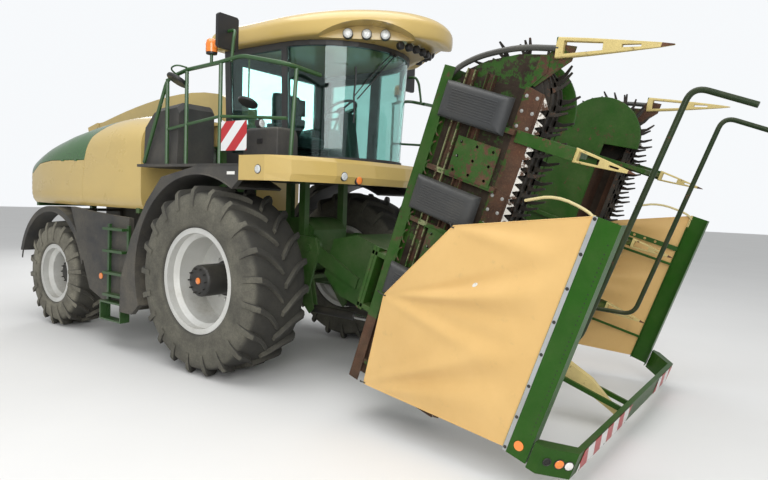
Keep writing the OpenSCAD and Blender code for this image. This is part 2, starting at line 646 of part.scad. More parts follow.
door_gap = 6;
door_hinge_x = -330;
door_hinge_y = 862;
module door_barrel(z, r, h) translate([door_hinge_x, door_hinge_y, z]) cylinder(r = r, h = h, $fn = 32);
door_hinges = [cab_floor_z + 260, cab_eave_z - 300];
module door_solid(t, inset) intersection() {
    cab_wall(t, inset, cab_floor_z, cab_eave_z);
    block([door_x0 + door_gap, 500, cab_floor_z + 60 + fit + door_gap], [door_x1 - door_gap, 1200, cab_eave_z - 60 - door_gap]);
}
module door_window(gap) side_plate(500, 1200) polygon([
    [door_x0 + 80 + gap, cab_floor_z + 180 + gap], [door_x1 - 70 - gap, cab_floor_z + 180 + gap],
    [door_x1 - 70 - gap, cab_eave_z - 130 - gap], [door_x0 + 80 + gap, cab_eave_z - 130 - gap]]);
module cab_door() color(anthracite) difference() {
    union() {
        difference() {
            door_solid(50, 0);
            door_window(0);
            for (z = door_hinges) door_barrel(z - 2, 17, 44);
        }
        for (z = door_hinges) {
            door_barrel(z + 40 + fit, 13, 38);
            block([door_hinge_x, door_hinge_y - 62, z + 40 + fit], [door_hinge_x + 40, door_hinge_y + 8, z + 78 + fit]);
        }
    }
    for (z = door_hinges) door_barrel(z + 30, 7.05, 60);
}
module cab_door_glass() color("lightblue", 0.4) intersection() {
    door_solid(glass_t, 20);
    door_window(fit);
}

// Roof sections: height, how far the edge is drawn in
roof_sections = [[cab_eave_z + fit, 60], [cab_eave_z + 30, 0], [cab_eave_z + 170, 0], [cab_eave_z + 250, 90],
    [cab_roof_z - 60, 260], [cab_roof_z, 520]];
roof_half_w = 980;
roof_nose = 1960;
function roof_ring(z, inset) = concat(
    [[cab_rear_x - 130 + inset, roof_half_w - inset, z], [cab_rear_x - 130 + inset, -roof_half_w + inset, z]],
    [for (i = [0:16]) let (a = -90 + 180 * i / 16)
        [cab_nose_x + (roof_nose - cab_nose_x - inset) * cos(a), (roof_half_w - inset) * sin(a), z]]
);
module cab_roof() color(beige) {
    skin([for (i = [len(roof_sections) - 1:-1:0]) roof_ring(roof_sections[i][0], roof_sections[i][1])]);
}

module cab_interior() {
    color("black") {
        // seat
        block([-250, -260, cab_floor_z + 60 + fit], [150, 260, cab_floor_z + 330]);
        translate([0, 0, 0]) block([-280, -270, cab_floor_z + 330], [260, 270, cab_floor_z + 470]);
        side_plate(-260, 260) polygon([[-330, cab_floor_z + 400], [-200, cab_floor_z + 400], [-260, cab_floor_z + 1050], [-370, cab_floor_z + 1050]]);
        // steering column with its wheel
        side_plate(-90, 90) polygon([[700, cab_floor_z + 60 + fit], [900, cab_floor_z + 60 + fit], [760, cab_floor_z + 720], [640, cab_floor_z + 720]]);
        translate([610, 0, cab_floor_z + 760]) rotate([0, -30, 0]) difference() {
            cylinder(r = 210, h = 30, center = true, $fn = 48);
            cylinder(r = 175, h = 40, center = true, $fn = 48);
        }
        translate([610, 0, cab_floor_z + 760]) rotate([0, -30, 0]) {
            cube([30, 380, 24], center = true);
            translate([0, 0, -60]) cylinder(r = 30, h = 60, $fn = 24);
        }
        // arm rest console
        block([-150, -460, cab_floor_z + 60 + fit], [380, -330, cab_floor_z + 620]);
    }
}

module lamps() {
    color("white") {
        for (s = [-1, 1], a = [28, 42, 56])
            translate([cab_nose_x + 1200 * cos(a), s * 860 * sin(a), cab_eave_z - 62]) rotate([0, 90, s * a])
                cylinder(r = 62, h = 60, $fn = 32);
    }
    color("orange") for (k = [0, 1]) translate([beacon_x[k], (2 * k - 1) * rail_y, 3350 + fit]) cylinder(r = 55, h = 130, $fn = 32);
}

module mirrors() color("black") for (k = [0, 1]) translate([mirror_x[k], (2 * k - 1) * (rail_y - 80), 0]) skin([
    for (s = [[3380, 110], [3400, 130], [3700, 130], [3720, 110]])
        [for (p = [[-30, -s[1]], [10, -s[1]], [10, s[1]], [-30, s[1]]]) [p[0], p[1], s[0]]]]);

turret_z = hood_top_z - 60;
spout_hinge_x = turret_x + 210;
spout_hinge_z = turret_z + 170;
module spout_turret() color(beige) {
    difference() {
        union() {
            translate([turret_x, 0, turret_z - 300]) cylinder(r = 260, h = 300, $fn = 64);
            translate([turret_x, 0, turret_z - 40]) cylinder(r = 330, h = 40, $fn = 64);
            both_sides() side_plate(spout_w / 2 + 30, spout_w / 2 + 50) polygon([
                [turret_x - 120, turret_z - 1], [turret_x + 260, turret_z - 1], [spout_hinge_x + 60, spout_hinge_z + 60],
                [spout_hinge_x - 60, spout_hinge_z + 60]]);
            both_sides() cross_bar(spout_hinge_x, spout_hinge_z, 20, spout_w / 2 + 10, spout_w / 2 + 40);
        }
        translate([turret_x, 0, turret_z - 301]) cylinder(r = 215, h = 400, $fn = 64);
    }
}

spout_end_x = -4420;
// The duct's middle line: station and height, and the duct's height there
spout_line = [
    for (t = [0:1:12])
        let (
            s = t / 12,
            x = turret_x + 120 + (spout_end_x - turret_x - 120) * s,
            z = 3000 + 190 * sin(min(180, 165 * pow(s, 0.62))) - 180 * s * s
        ) [x, z]
];
flap_hinge_x = -4446;
flap_hinge_z = 2986;
module spout_arch() color(beige) {
    last = len(spout_line) - 1;
    difference() {
        skin([for (i = [0:last]) spout_ring(i, 0)]);
        skin([for (i = [0:last]) spout_ring(i, 8)]);
    }
    difference() {
        both_sides() {
            side_plate(spout_w / 2 + 8, spout_w / 2 + 30 - fit) polygon([
                [spout_hinge_x - 200, spout_hinge_z - 40], [spout_hinge_x + 60, spout_hinge_z - 50], [spout_hinge_x + 60, spout_hinge_z + 50],
                [spout_hinge_x - 200, spout_hinge_z + 80]]);
            side_plate(spout_w / 2 - 6, spout_w / 2 + 9) polygon([
                [spout_hinge_x - 260, spout_hinge_z - 40], [spout_hinge_x - 60, spout_hinge_z - 50], [spout_hinge_x - 60, spout_hinge_z + 50],
                [spout_hinge_x - 260, spout_hinge_z + 80]]);
        }
        cross_bar(spout_hinge_x, spout_hinge_z, 20.05, -400, 400);
    }
    both_sides() {
        cross_bar(flap_hinge_x, flap_hinge_z, 8, 122, 150);
        side_plate(120, 131) polygon([for (p = [[-12, 10], [12, 12], [130, 20], [130, -60], [40, -56], [-12, -4]])
            [flap_hinge_x, flap_hinge_z] + p]);
    }
}
function spout_ring(i, t) =
    let (
        last = len(spout_line) - 1,
        p = spout_line[i],
        d = unit(spout_line[min(i + 1, last)] - spout_line[max(i - 1, 0)]),
        n = [-d[1], d[0]],
        h = 150 - 40 * i / last - t,
        w = spout_w / 2 - 20 * i / last - t,
        q = p + d * (i == 0 && t > 0 ? -20 : i == last && t > 0 ? 20 : 0)
    )
    [for (c = [[-w, -h], [w, -h], [w, h], [-w, h]]) [q[0] + n[0] * c[1], c[0], q[1] + n[1] * c[1]]];

module spout_flap() color(beige) {
    h = [flap_hinge_x, flap_hinge_z];
    side_plate(-150, 150) polygon([h + [-20, -6], h + [-20, 6], h + [-300, -54], h + [-298, -66]]);
    both_sides() difference() {
        side_plate(138, 150) polygon([
            h + [16, 12], h + [14, -60], h + [-270, -160], h + [-300, -54], h + [-20, 12]]);
        cross_bar(flap_hinge_x, flap_hinge_z, 8.05, 100, 200);
    }
}

feed_front = wing_back - 215;
feed_low_w = 1130;
feed_top_w = 1840;
roller_u = feed_front - 190;
module feed_house() {
    color(green) {
        both_sides() difference() {
            union() {
                header_frame() side_plate(feed_half_w - 40, feed_half_w - 30) polygon([
                    [420, feed_low_w + 140], [700, feed_low_w], [feed_front, feed_low_w], [feed_front, feed_top_w],
                    [700, feed_top_w], [420, feed_top_w - 160]]);
                side_plate(feed_half_w - 40, feed_half_w) difference() {
                    translate([lift_x, lift_z]) circle(r = 150, $fn = 64);
                    translate([lift_x, lift_z]) circle(r = pivot_pin_r + 0.05, $fn = 64);
                }
                header_frame() side_plate(feed_half_w - 40, feed_half_w - 2) polygon([
                    [160, 1370], [900, 1300], [900, 1420], [160, 1565]]);
            }
            cross_bar(lift_x, lift_z, pivot_pin_r + 0.05, feed_half_w - 60, feed_half_w + 40);
            for (w = [1330, 1640]) header_frame() cross_bar(roller_u, w, 40.05, feed_half_w - 60, feed_half_w + 40);
        }
        header_frame() block([700, -feed_half_w + 30, feed_top_w - 12], [feed_front, feed_half_w - 30, feed_top_w]);
        header_frame() block([700, -feed_half_w + 30, feed_low_w], [feed_front, feed_half_w - 30, feed_low_w + 12]);
        // flange that the header hooks on to
        header_frame() difference() {
            block([feed_front - 20, -feed_half_w - 60, feed_low_w - 20], [feed_front, feed_half_w + 60, feed_top_w + 40]);
            block([feed_front - 21, -feed_half_w + 40, feed_low_w + 12], [feed_front + 1, feed_half_w - 40, feed_top_w - 12]);
        }
        // lift brackets under the floor
        header_frame() for (s = [-1, 1]) translate([0, s * lift_y, 0]) for (y = [-54, 34])
            side_plate(y, y + 20) polygon([[1080, feed_low_w + 1], [1380, feed_low_w + 1], [1270, feed_low_w - 110], [1190, feed_low_w - 110]]);
    }
}

module roller(w) color("dimgray") header_frame() {
    cross_bar(roller_u, w, 90, -feed_half_w + 60, feed_half_w - 60);
    cross_bar(roller_u, w, 40, -feed_half_w + 22, feed_half_w - 22);
    for (i = [0:7]) translate([roller_u, 0, w]) rotate([0, i * 45, 0])
        block([80, -feed_half_w + 70, -8], [135, feed_half_w - 70, 8]);
}

// Lift cylinders: from the frame bracket to the feed house's underside
rod_eye = header_xz(1230, feed_low_w - 70);
barrel_foot = [barrel_foot_x, barrel_foot_z];
lift_len = norm(rod_eye - barrel_foot);
lift_angle = atan2(rod_eye[1] - barrel_foot[1], rod_eye[0] - barrel_foot[0]);
module on_lift_line() for (s = [-1, 1]) translate([barrel_foot_x, s * lift_y, barrel_foot_z]) rotate([0, -lift_angle, 0]) children();
module lift_barrels() color("black") on_lift_line() difference() {
    union() {
        block([0, -20, -40], [90, 20, 40]);
        translate([85, 0, 0]) rotate([0, 90, 0]) cylinder(r = 48, h = lift_len * 0.62 - 55, $fn = 48);
        rotate([90, 0, 0]) cylinder(r = 42, h = 48, center = true, $fn = 48);
    }
    rotate([90, 0, 0]) cylinder(r = 20.05, h = 60, center = true, $fn = 48);
    translate([lift_len * 0.3, 0, 0]) rotate([0, 90, 0]) cylinder(r = 30.05, h = lift_len, $fn = 48);
}
module lift_rods() color(silver) on_lift_line() difference() {
    union() {
        translate([lift_len * 0.35, 0, 0]) rotate([0, 90, 0]) cylinder(r = 30, h = lift_len * 0.65 - 25, $fn = 48);
        translate([lift_len, 0, 0]) rotate([90, 0, 0]) cylinder(r = 40, h = 48, center = true, $fn = 48);
    }
    translate([lift_len, 0, 0]) rotate([90, 0, 0]) cylinder(r = 22, h = 60, center = true, $fn = 48);
}

// The carrier behind the wings, with a fold pivot at each side
fold_y = 700;
fold_w = wing_foot + fold_y;
fold_r = 45;
carrier_u0 = feed_front + fit;
module header_carrier() header_frame() {
    color(green) {
        difference() {
            block([carrier_u0, -fold_half, feed_low_w - 30], [wing_back - 25, fold_half, feed_top_w + 60]);
            block([carrier_u0 - 1, -feed_half_w + 40, feed_low_w + 30], [wing_back, feed_half_w - 40, feed_top_w - 60]);
        }
        // clevises at the fold pivots
        both_sides() for (u = [[carrier_u0, carrier_u0 + 40], [wing_back - 65, wing_back - 25]])
            translate([u[0], 0, 0]) pivot_ear(u[1] - u[0]);
        // centre divider's beam, hung from the carrier's upper member
        side_plate(-40, 40) polygon([
            [wing_back - 50, 1890], [wing_back + 30, 1890], [2050, 1520], [3150, 1520], [3150, 1440], [1890, 1440],
            [wing_back - 50, 1750]]);
    }
    color(silver) both_sides() translate([carrier_u0 + 1, fold_y, fold_w]) rotate([0, 90, 0])
        cylinder(r = fold_r, h = wing_back - 26 - carrier_u0 - 1, $fn = 48);
    color(beige) divider_nose(3100, 600, 1400, 60);
}
module pivot_ear(t) rotate([90, 0, 90]) linear_extrude(t) union() {
    translate([fold_y, fold_w]) circle(r = 100, $fn = 48);
    polygon([[fold_half - 20, fold_w - 220], [fold_y + 60, fold_w - 80], [fold_y - 40, fold_w + 91], [fold_half - 20, fold_w + 160]]);
}

// A pointed divider snout along u, from station u0, "len" long, standing h above w
module divider_nose(u0, len, w, h) skin([
    for (s = [[0, 75, 110], [0.45, 52, 90], [0.85, 22, 50], [1, 6, 16]])
        [for (p = [[-1, -0.3], [1, -0.3], [0.6, 1], [-0.6, 1]])
            [u0 + len * s[0], p[0] * s[1], w + h - 20 - 150 * s[0] * s[0] + p[1] * s[2]]]]);

loop_u = 2340;
loop_r = 280;
loop_in = 500;
loop_out = wing_len - 460;
tine_reach = 170;

module wing_left() folded_left() {
    cover_round = 330;
    // floor plates, back wall and top cover, with the fold bracket behind
    color(rust) block([wing_back + 6, 90, 60], [2560, wing_len - 370, 72]);
    color(rust) for (u = [1990, 2250]) block([u, 120, 8], [u + 70, wing_len - 260, 61]);
    color(green) {
        block([wing_back, 30, 0], [wing_back + 8, wing_len - 350, wing_depth]);
        block([wing_back, 30, 0], [wing_back + 70, wing_len - 350, 8]);
        block([wing_back, 30, wing_depth - 8], [wing_back + 120, wing_len - 350, wing_depth]);
        for (i = [0:5]) block([wing_back + 1, 200 + i * 440, 8], [2500, 240 + i * 440, 61]);
        translate([0, 0, wing_depth - 20]) linear_extrude(20) difference() {
            polygon(concat([[wing_back + 100, 60], [loop_u + 60, 60], [loop_u + 60, loop_out - 100]],
                arc([loop_u - 20, loop_out - 60], 420, 0, 150, 12), [[wing_back + 100, loop_out]]));
        }
        // post that holds the cover over the floor, inside the chain's loop
        block([loop_u - 60, loop_in + 300, 71], [loop_u + 60, loop_out - 300, wing_depth - 19]);
        for (u = [carrier_u0 + 43, wing_back - 108]) translate([u, 0, 0]) rotate([90, 0, 90]) linear_extrude(40) difference() {
            union() {
                translate([fold_y, wing_side - fold_y]) circle(r = 90, $fn = 48);
                polygon([[fold_y - 80, 0], [fold_y + 500, 0], [fold_y + 400, wing_depth - 60], [fold_y + 85, wing_side - fold_y + 30],
                    [fold_y - 80, wing_side - fold_y - 40]]);
            }
            translate([fold_y, wing_side - fold_y]) circle(r = fold_r + 0.05, $fn = 48);
        }
        for (y = [fold_y - 60, fold_y + 420]) block([carrier_u0 + 43, y, 0], [wing_back + 1, y + 40, 200]);
        // shafts of the collector's sprockets
        for (y = [loop_in, loop_out]) translate([loop_u, y, 71]) cylinder(r = 60, h = wing_depth - 90, $fn = 48);
    }
}

// The collector chain: one closed loop with rows of tines
module loop_shape(grow) {
    translate([loop_u, loop_in]) circle(r = loop_r + grow, $fn = 64);
    translate([loop_u, loop_out]) circle(r = loop_r + grow, $fn = 64);
    translate([loop_u - loop_r - grow, loop_in]) square([2 * (loop_r + grow), loop_out - loop_in]);
}
module collector_left() folded_left() color(rubber) {
    translate([0, 0, 100]) linear_extrude(240) difference() {
        loop_shape(20);
        loop_shape(-20);
    }
    for (z = [120, 215, 310]) translate([0, 0, z]) linear_extrude(14) difference() {
        loop_shape(tine_reach);
        loop_shape(10);
    }
    for (y = [loop_in, loop_out]) translate([loop_u, y, 90]) difference() {
        cylinder(r = loop_r - 18, h = 40, $fn = 64);
        translate([0, 0, -1]) cylinder(r = 60.3, h = 42, $fn = 64);
    }
}

module dividers_left() folded_left() {
    for (i = [0:3]) {
        y = row_pitch * (i + 1) - 40;
        color(green) block([wing_back + 110, min(y, wing_len - 60) - 25, wing_depth + fit], [2900, min(y, wing_len - 60) + 25, wing_depth + 50]);
        color(beige) translate([0, min(y, wing_len - 60), 0]) divider_nose(2880, 480, wing_depth - 20, 60);
    }
    // plant guide bar
    color(green) tube(bent([[2950, 760, 480], [3330, 1050, 560], [3380, bar_a, 600], [bar_u, bar_a - 20, 600]], 90), 22, [0, 0, 1]);
}

module skids_left() folded_left() color("dimgray")
    for (i = [0:2]) translate([0, 620 + i * 750, 0]) skin([
        for (s = [[8 - fit, 0, 0], [-50, 30, 20], [-62, 70, 60]])
            [for (p = [[1860 + s[1], s[2]], [2470 - s[1], s[2]], [2470 - s[1], 330 - s[2]], [1860 + s[1], 330 - s[2]]])
                [p[0], p[1], s[0]]]]);

guard_len = 1700;
module guard_bar() header_frame() {
    color(green) {
        difference() {
            translate([0, 0, wing_foot + 380]) linear_extrude(200) polygon([
                [guard_u + 190, guard_half_w], [guard_u + 190, guard_half_w - 60], [guard_u + 400, guard_half_w - 260],
                [guard_u + 400, -guard_half_w + 260], [guard_u + 190, -guard_half_w + 60], [guard_u + 190, -guard_half_w],
                [guard_u + 260, -guard_half_w], [guard_u + 440, -guard_half_w + 180],
                [guard_u + 440, guard_half_w - 180], [guard_u + 260, guard_half_w]]);
        }
        both_sides() block([2900, 90, 1390], [guard_u + 405, 120, 1430]);
        block([2900, -120, 1390], [2950, 120, 1440 - fit]);
    }
}

module guard_side_left() header_frame() {
    color(green) translate([0, 0, wing_foot + 400]) linear_extrude(guard_len) polygon([
        [guard_u, guard_half_w], [guard_u + 180, guard_half_w], [guard_u + 180, guard_half_w - 110],
        [guard_u + 174, guard_half_w - 110], [guard_u + 174, guard_half_w - 6], [guard_u + 6, guard_half_w - 6],
        [guard_u + 6, guard_half_w - 40], [guard_u, guard_half_w - 40]]);
    color(green) for (w = [1590, 2470]) {
        block([2474, wing_side - 8 + fit, w], [2500, wing_side + 14, w + 40]);
        tube([[2480, wing_side + 6, w + 20], [guard_u + 10, guard_half_w - 50, w + 20]], 14, [0, 0, 1]);
    }
}

// The tarpaulin between the channel and the wing
module tarp_left() header_frame() color(beige) skin([
    for (e = [[[1990, 1480, 1040], [guard_u - fit, guard_half_w - 14, 1370]], [[1920, 1480, 1830], [guard_u - fit, guard_half_w - 14, 2200]],
            [[2350, 1530, 2600], [guard_u - fit, guard_half_w - 14, 3040]]])
        [e[0] - [0, 3, 0], e[1] - [0, 3, 0], e[1] + [0, 3, 0], e[0] + [0, 3, 0]]]);

module placed() translate([-origin_x, 0, 0]) children();
module on_the_left() placed() mirror([0, 1, 0]) children();

placed() main_frame();
placed() drum_housing();
placed() body_supports();
placed() engine_block();
placed() front_axle();
placed() rear_axle();
placed() front_rim();  // front_rim_right
on_the_left() front_rim();  // front_rim_left
placed() front_tyre();  // front_tyre_right
on_the_left() front_tyre();  // front_tyre_left
placed() knuckle_right();
on_the_left() knuckle_right();  // knuckle_left
placed() rear_rim();  // rear_rim_right
on_the_left() rear_rim();  // rear_rim_left
placed() rear_tyre();  // rear_tyre_right
on_the_left() rear_tyre();  // rear_tyre_left
placed() front_fenders();
placed() rear_fenders();
placed() deck();
placed() storage_boxes();
placed() front_panel();
placed() ladders();
placed() rails_right();
placed() rails_left();
placed() hood_top();
placed() hood_rear();
on_the_left() side_flap_left();  // side_flap_right
placed() side_flap_left();
placed() {
    cab_frame();
    cab_door_hinges();
}
placed() cab_glass();
placed() cab_roof();
placed() cab_door();
placed() cab_door_glass();
placed() cab_interior();
placed() lamps();
placed() mirrors();
placed() spout_turret();
placed() spout_arch();
placed() spout_flap();
placed() feed_house();
placed() roller(1640);  // feed_roller_upper
placed() roller(1330);  // feed_roller_lower
placed() lift_barrels();
placed() lift_rods();
placed() header_carrier();
on_the_left() wing_left();  // wing_right
placed() wing_left();
on_the_left() collector_left();  // collector_right
placed() collector_left();
on_the_left() dividers_left();  // dividers_right
placed() dividers_left();
on_the_left() skids_left();  // skids_right
placed() skids_left();
placed() guard_bar();
on_the_left() guard_side_left();  // guard_side_right
placed() guard_side_left();
on_the_left() tarp_left();  // tarp_right
placed() tarp_left();
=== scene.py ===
import bpy, bmesh, json, math
from mathutils import Matrix, Vector


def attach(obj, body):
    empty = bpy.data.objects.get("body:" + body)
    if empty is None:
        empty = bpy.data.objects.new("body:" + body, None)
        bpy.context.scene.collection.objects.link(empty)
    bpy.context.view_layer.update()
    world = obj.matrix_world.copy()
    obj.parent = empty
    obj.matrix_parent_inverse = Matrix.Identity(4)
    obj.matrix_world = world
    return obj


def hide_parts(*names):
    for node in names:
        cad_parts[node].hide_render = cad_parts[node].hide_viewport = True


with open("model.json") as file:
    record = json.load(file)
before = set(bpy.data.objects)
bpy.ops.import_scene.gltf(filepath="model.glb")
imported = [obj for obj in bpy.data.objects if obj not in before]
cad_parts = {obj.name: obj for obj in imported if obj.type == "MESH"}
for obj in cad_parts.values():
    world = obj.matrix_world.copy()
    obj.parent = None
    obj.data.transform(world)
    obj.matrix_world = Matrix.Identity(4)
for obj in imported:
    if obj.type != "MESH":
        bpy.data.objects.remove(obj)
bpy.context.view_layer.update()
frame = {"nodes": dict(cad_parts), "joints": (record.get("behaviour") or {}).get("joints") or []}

# ---------------------------------------------------------------- Camera, light and floor
# A person's view from the right front corner, the lens a little tilted, in an even studio light.
# Places are given as the drawings give them: millimetres from the front axle, Y to the left, Z up.
front_axle_x = next(j["pos_m"][0] for j in frame["joints"] if j["name"] == "front_wheel_right_spin")
sides = ((-1, "right"), (1, "left"))


def at(x, y, z):
    return Vector((x / 1000 + front_axle_x, y / 1000, z / 1000))


def round_steps(count, start=0.0, step=None):
    """Cosine and sine of evenly spaced angles, from a start in degrees; a full turn unless a step is given."""
    step = 360 / count if step is None else step
    return [(math.cos(a), math.sin(a)) for a in (math.radians(start + step * k) for k in range(count))]


def across(direction):
    """Unit vectors along a direction and two at right angles to it."""
    d = Vector(direction).normalized()
    e = d.orthogonal().normalized()
    return d, e, d.cross(e)


def bands(n, rows, first=0, closed=True, wrap=False):
    """Faces between rows of n points; closed joins each row's ends, wrap joins the last row to the first."""
    corners = ((0, 0), (0, 1), (1, 1), (1, 0))
    return [tuple(first + (k + up) % rows * n + (i + on) % n for up, on in corners)
            for k in range(rows if wrap else rows - 1) for i in range(n if closed else n - 1)]


def new_object(name, data):
    made = bpy.data.objects.new(name, data)
    bpy.context.scene.collection.objects.link(made)
    return made


def flattened(piece):
    """A piece's mesh with its modifiers applied."""
    return bpy.data.meshes.new_from_object(piece.evaluated_get(bpy.context.evaluated_depsgraph_get()))


def shade(mesh, crease):
    """Smooth shading except where faces meet at more than the crease angle."""
    mesh.shade_smooth()
    mesh.set_sharp_from_angle(angle=math.radians(crease))


def new_piece(name, points, faces, crease=35):
    mesh = bpy.data.meshes.new(name)
    mesh.from_pydata([tuple(p) for p in points], [], faces)
    mesh.validate()
    tidy = bmesh.new()
    tidy.from_mesh(mesh)
    bmesh.ops.recalc_face_normals(tidy, faces=tidy.faces)
    tidy.to_mesh(mesh)
    tidy.free()
    shade(mesh, crease)
    return new_object(name, mesh)


def soften(piece, width, segments=2, angle=35):
    """A small bevel on the sharp edges, its width in millimetres."""
    edge = piece.modifiers.new("soft_edges", "BEVEL")
    edge.width, edge.segments = width / 1000, segments
    edge.limit_method, edge.angle_limit = "ANGLE", math.radians(angle)
    edge.harden_normals = True


def finish(piece, material, body, bevel=0, segments=2, replaces=None):
    """Gives a piece its material, its soft edges and the body that it moves with."""
    piece.data.materials.append(material)
    if bevel:
        soften(piece, bevel, segments)
    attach(piece, body)
    if replaces:
        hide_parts(replaces)
    return piece


def set_inputs(tree, node, inputs):
    """Feeds a node's inputs from sockets, or sets their values; a colour leaves out its alpha."""
    for key, source in inputs.items():
        target = node.inputs[key]
        if isinstance(source, bpy.types.NodeSocket):
            tree.links.new(source, target)
        else:
            target.default_value = (*source, 1) if target.type == "RGBA" else source


def add_node(tree, kind, inputs=(), **values):
    """Adds a shader node; values are its settings, or inputs with _ for a space."""
    node = tree.nodes.new("ShaderNode" + kind)
    for key, value in values.items():
        if hasattr(node, key):
            setattr(node, key, value)
        else:
            set_inputs(tree, node, {key.replace("_", " "): value})
    set_inputs(tree, node, dict(inputs))
    return node


def place_of(tree, key="Object"):
    """The tree's texture coordinates, in a node that is made when they are first asked for."""
    return (tree.nodes.get("Texture Coordinate") or tree.nodes.new("ShaderNodeTexCoord")).outputs[key]


def texture(tree, kind, output="Fac", **values):
    return add_node(tree, "Tex" + kind, {"Vector": place_of(tree)}, **values).outputs[output]


def noise(tree, scale, detail, roughness=0.5):
    return texture(tree, "Noise", Scale=scale, Detail=detail, Roughness=roughness)


def span(tree, source, low=0.0, high=1.0, to_low=0.0, to_high=1.0):
    """Maps one range of a value onto another."""
    return add_node(tree, "MapRange", {"Value": source}, From_Min=low, From_Max=high, To_Min=to_low,
                    To_Max=to_high).outputs["Result"]


def calc(tree, operation, a, b=0.0, clamp=False):
    return add_node(tree, "Math", {0: a, 1: b}, operation=operation, use_clamp=clamp).outputs[0]


def blend(tree, share, a, b):
    """Mixes two colours, each a socket or three numbers."""
    return add_node(tree, "Mix", {0: share, 6: a, 7: b}, data_type="RGBA").outputs[2]


def blend_value(tree, share, a, b):
    return add_node(tree, "Mix", {0: share, 2: a, 3: b}, data_type="FLOAT").outputs[0]


def bumps(tree, height, strength, distance):
    return add_node(tree, "Bump", {"Height": height}, Strength=strength, Distance=distance).outputs["Normal"]


def new_material(name, colour, roughness, metallic=0.0):
    """A material, its node tree and its Principled shader."""
    material = bpy.data.materials.new(name)
    material.use_nodes = True
    shader = material.node_tree.nodes["Principled BSDF"]
    set_inputs(material.node_tree, shader, {"Base Color": colour, "Roughness": roughness, "Metallic": metallic})
    return material, material.node_tree, shader


heading, climb, roll = math.radians(125.9), math.radians(-3.8), math.radians(2.1)
sight = Vector((math.cos(heading) * math.cos(climb), math.sin(heading) * math.cos(climb), math.sin(climb)))
camera = new_object("camera", bpy.data.cameras.new("camera"))
bpy.context.scene.camera = camera
camera.matrix_world = Matrix.Translation(at(5260, -5470, 1920)) @ (
    sight.to_track_quat("-Z", "Y").to_matrix() @ Matrix.Rotation(roll, 3, "Z")).to_4x4()
camera.data.sensor_width, camera.data.lens, camera.data.clip_end = 36, 28.44, 400

# The sky is bright to the eye and through glass, and softer as a light
bpy.context.scene.view_settings.view_transform = "Standard"
world = bpy.data.worlds.new("studio")
bpy.context.scene.world = world
world.use_nodes = True
rays = add_node(world.node_tree, "LightPath")
seen = calc(world.node_tree, "MAXIMUM", rays.outputs["Is Camera Ray"], rays.outputs["Is Transmission Ray"])
set_inputs(world.node_tree, world.node_tree.nodes["Background"],
           {"Strength": span(world.node_tree, seen, to_low=0.62, to_high=0.97), "Color": (0.96, 0.98, 1.0)})

for name, place, aim, size, watts in (
        ("softbox_over", (600, -1500, 9500), (0, 0, 1500), 9.0, 620),
        ("softbox_front", (7500, -8500, 5200), (600, 0, 1400), 6.0, 620),
        ("softbox_rear", (-9500, 6500, 6000), (-2500, 0, 1500), 6.0, 360)):
    lamp = bpy.data.lights.new(name, "AREA")
    lamp.shape, lamp.size, lamp.energy = "SQUARE", size, watts
    holder = new_object(name, lamp)
    holder.location = at(*place)
    holder.rotation_euler = (at(*aim) - at(*place)).to_track_quat("-Z", "Y").to_euler()

floor_r = 60000
floor = new_piece("floor", [at(floor_r * c, floor_r * s, 0) for c, s in round_steps(64)], [list(range(64))])
paving, tree, shader = new_material("pale_floor", (0.74, 0.735, 0.72), 0.85)
set_inputs(tree, shader, {"Base Color": blend(tree, noise(tree, 0.6, 5), (0.71, 0.705, 0.69), (0.77, 0.765, 0.75))})
floor.data.materials.append(paving)


# ---------------------------------------------------------------- Frame, axles and knuckles
# Two channel rails with cross members, a portal front axle bolted under them and a steered rear axle
# with its knuckles. All are welded plate or castings in green enamel, dusty low down and behind the wheels.
def effect(name, inputs, outputs):
    """An empty shader node group with named inputs and outputs."""
    tree = bpy.data.node_groups.new(name, "ShaderNodeTree")
    for key, value in inputs.items():
        kind = "NodeSocketColor" if isinstance(value, tuple) else "NodeSocketFloat"
        tree.interface.new_socket(key, in_out="INPUT", socket_type=kind).default_value = value
    for key, kind in outputs.items():
        tree.interface.new_socket(key, in_out="OUTPUT", socket_type="NodeSocket" + kind)
    return tree, tree.nodes.new("NodeGroupInput").outputs, tree.nodes.new("NodeGroupOutput")


# Dust that lies on upward faces, low down and in patches
dust_effect, given, result = effect("field_dust", {"Amount": 0.5, "Patch Scale": 2.5, "Clean Height": 2.6},
                                    {"Mask": "Float"})
patches = texture(dust_effect, "Noise", Scale=given["Patch Scale"], Detail=7, Roughness=0.62)
height = add_node(dust_effect, "SeparateXYZ", {0: place_of(dust_effect)}).outputs["Z"]
upward = add_node(dust_effect, "SeparateXYZ", {0: place_of(dust_effect, "Normal")}).outputs["Z"]
total = span(dust_effect, height, 0.0, given["Clean Height"], 1.0, 0.18)
for part in (span(dust_effect, upward, -0.3, 1.0, 0.35, 1.0), span(dust_effect, patches, 0.3, 0.72),
             span(dust_effect, noise(dust_effect, 38, 4, 0.7), 0.3, 0.75, 0.5, 1.0), given["Amount"]):
    total = calc(dust_effect, "MULTIPLY", total, part)
dust_gain = 2.6
set_inputs(dust_effect, result, {"Mask": calc(dust_effect, "MULTIPLY", total, dust_gain, clamp=True)})

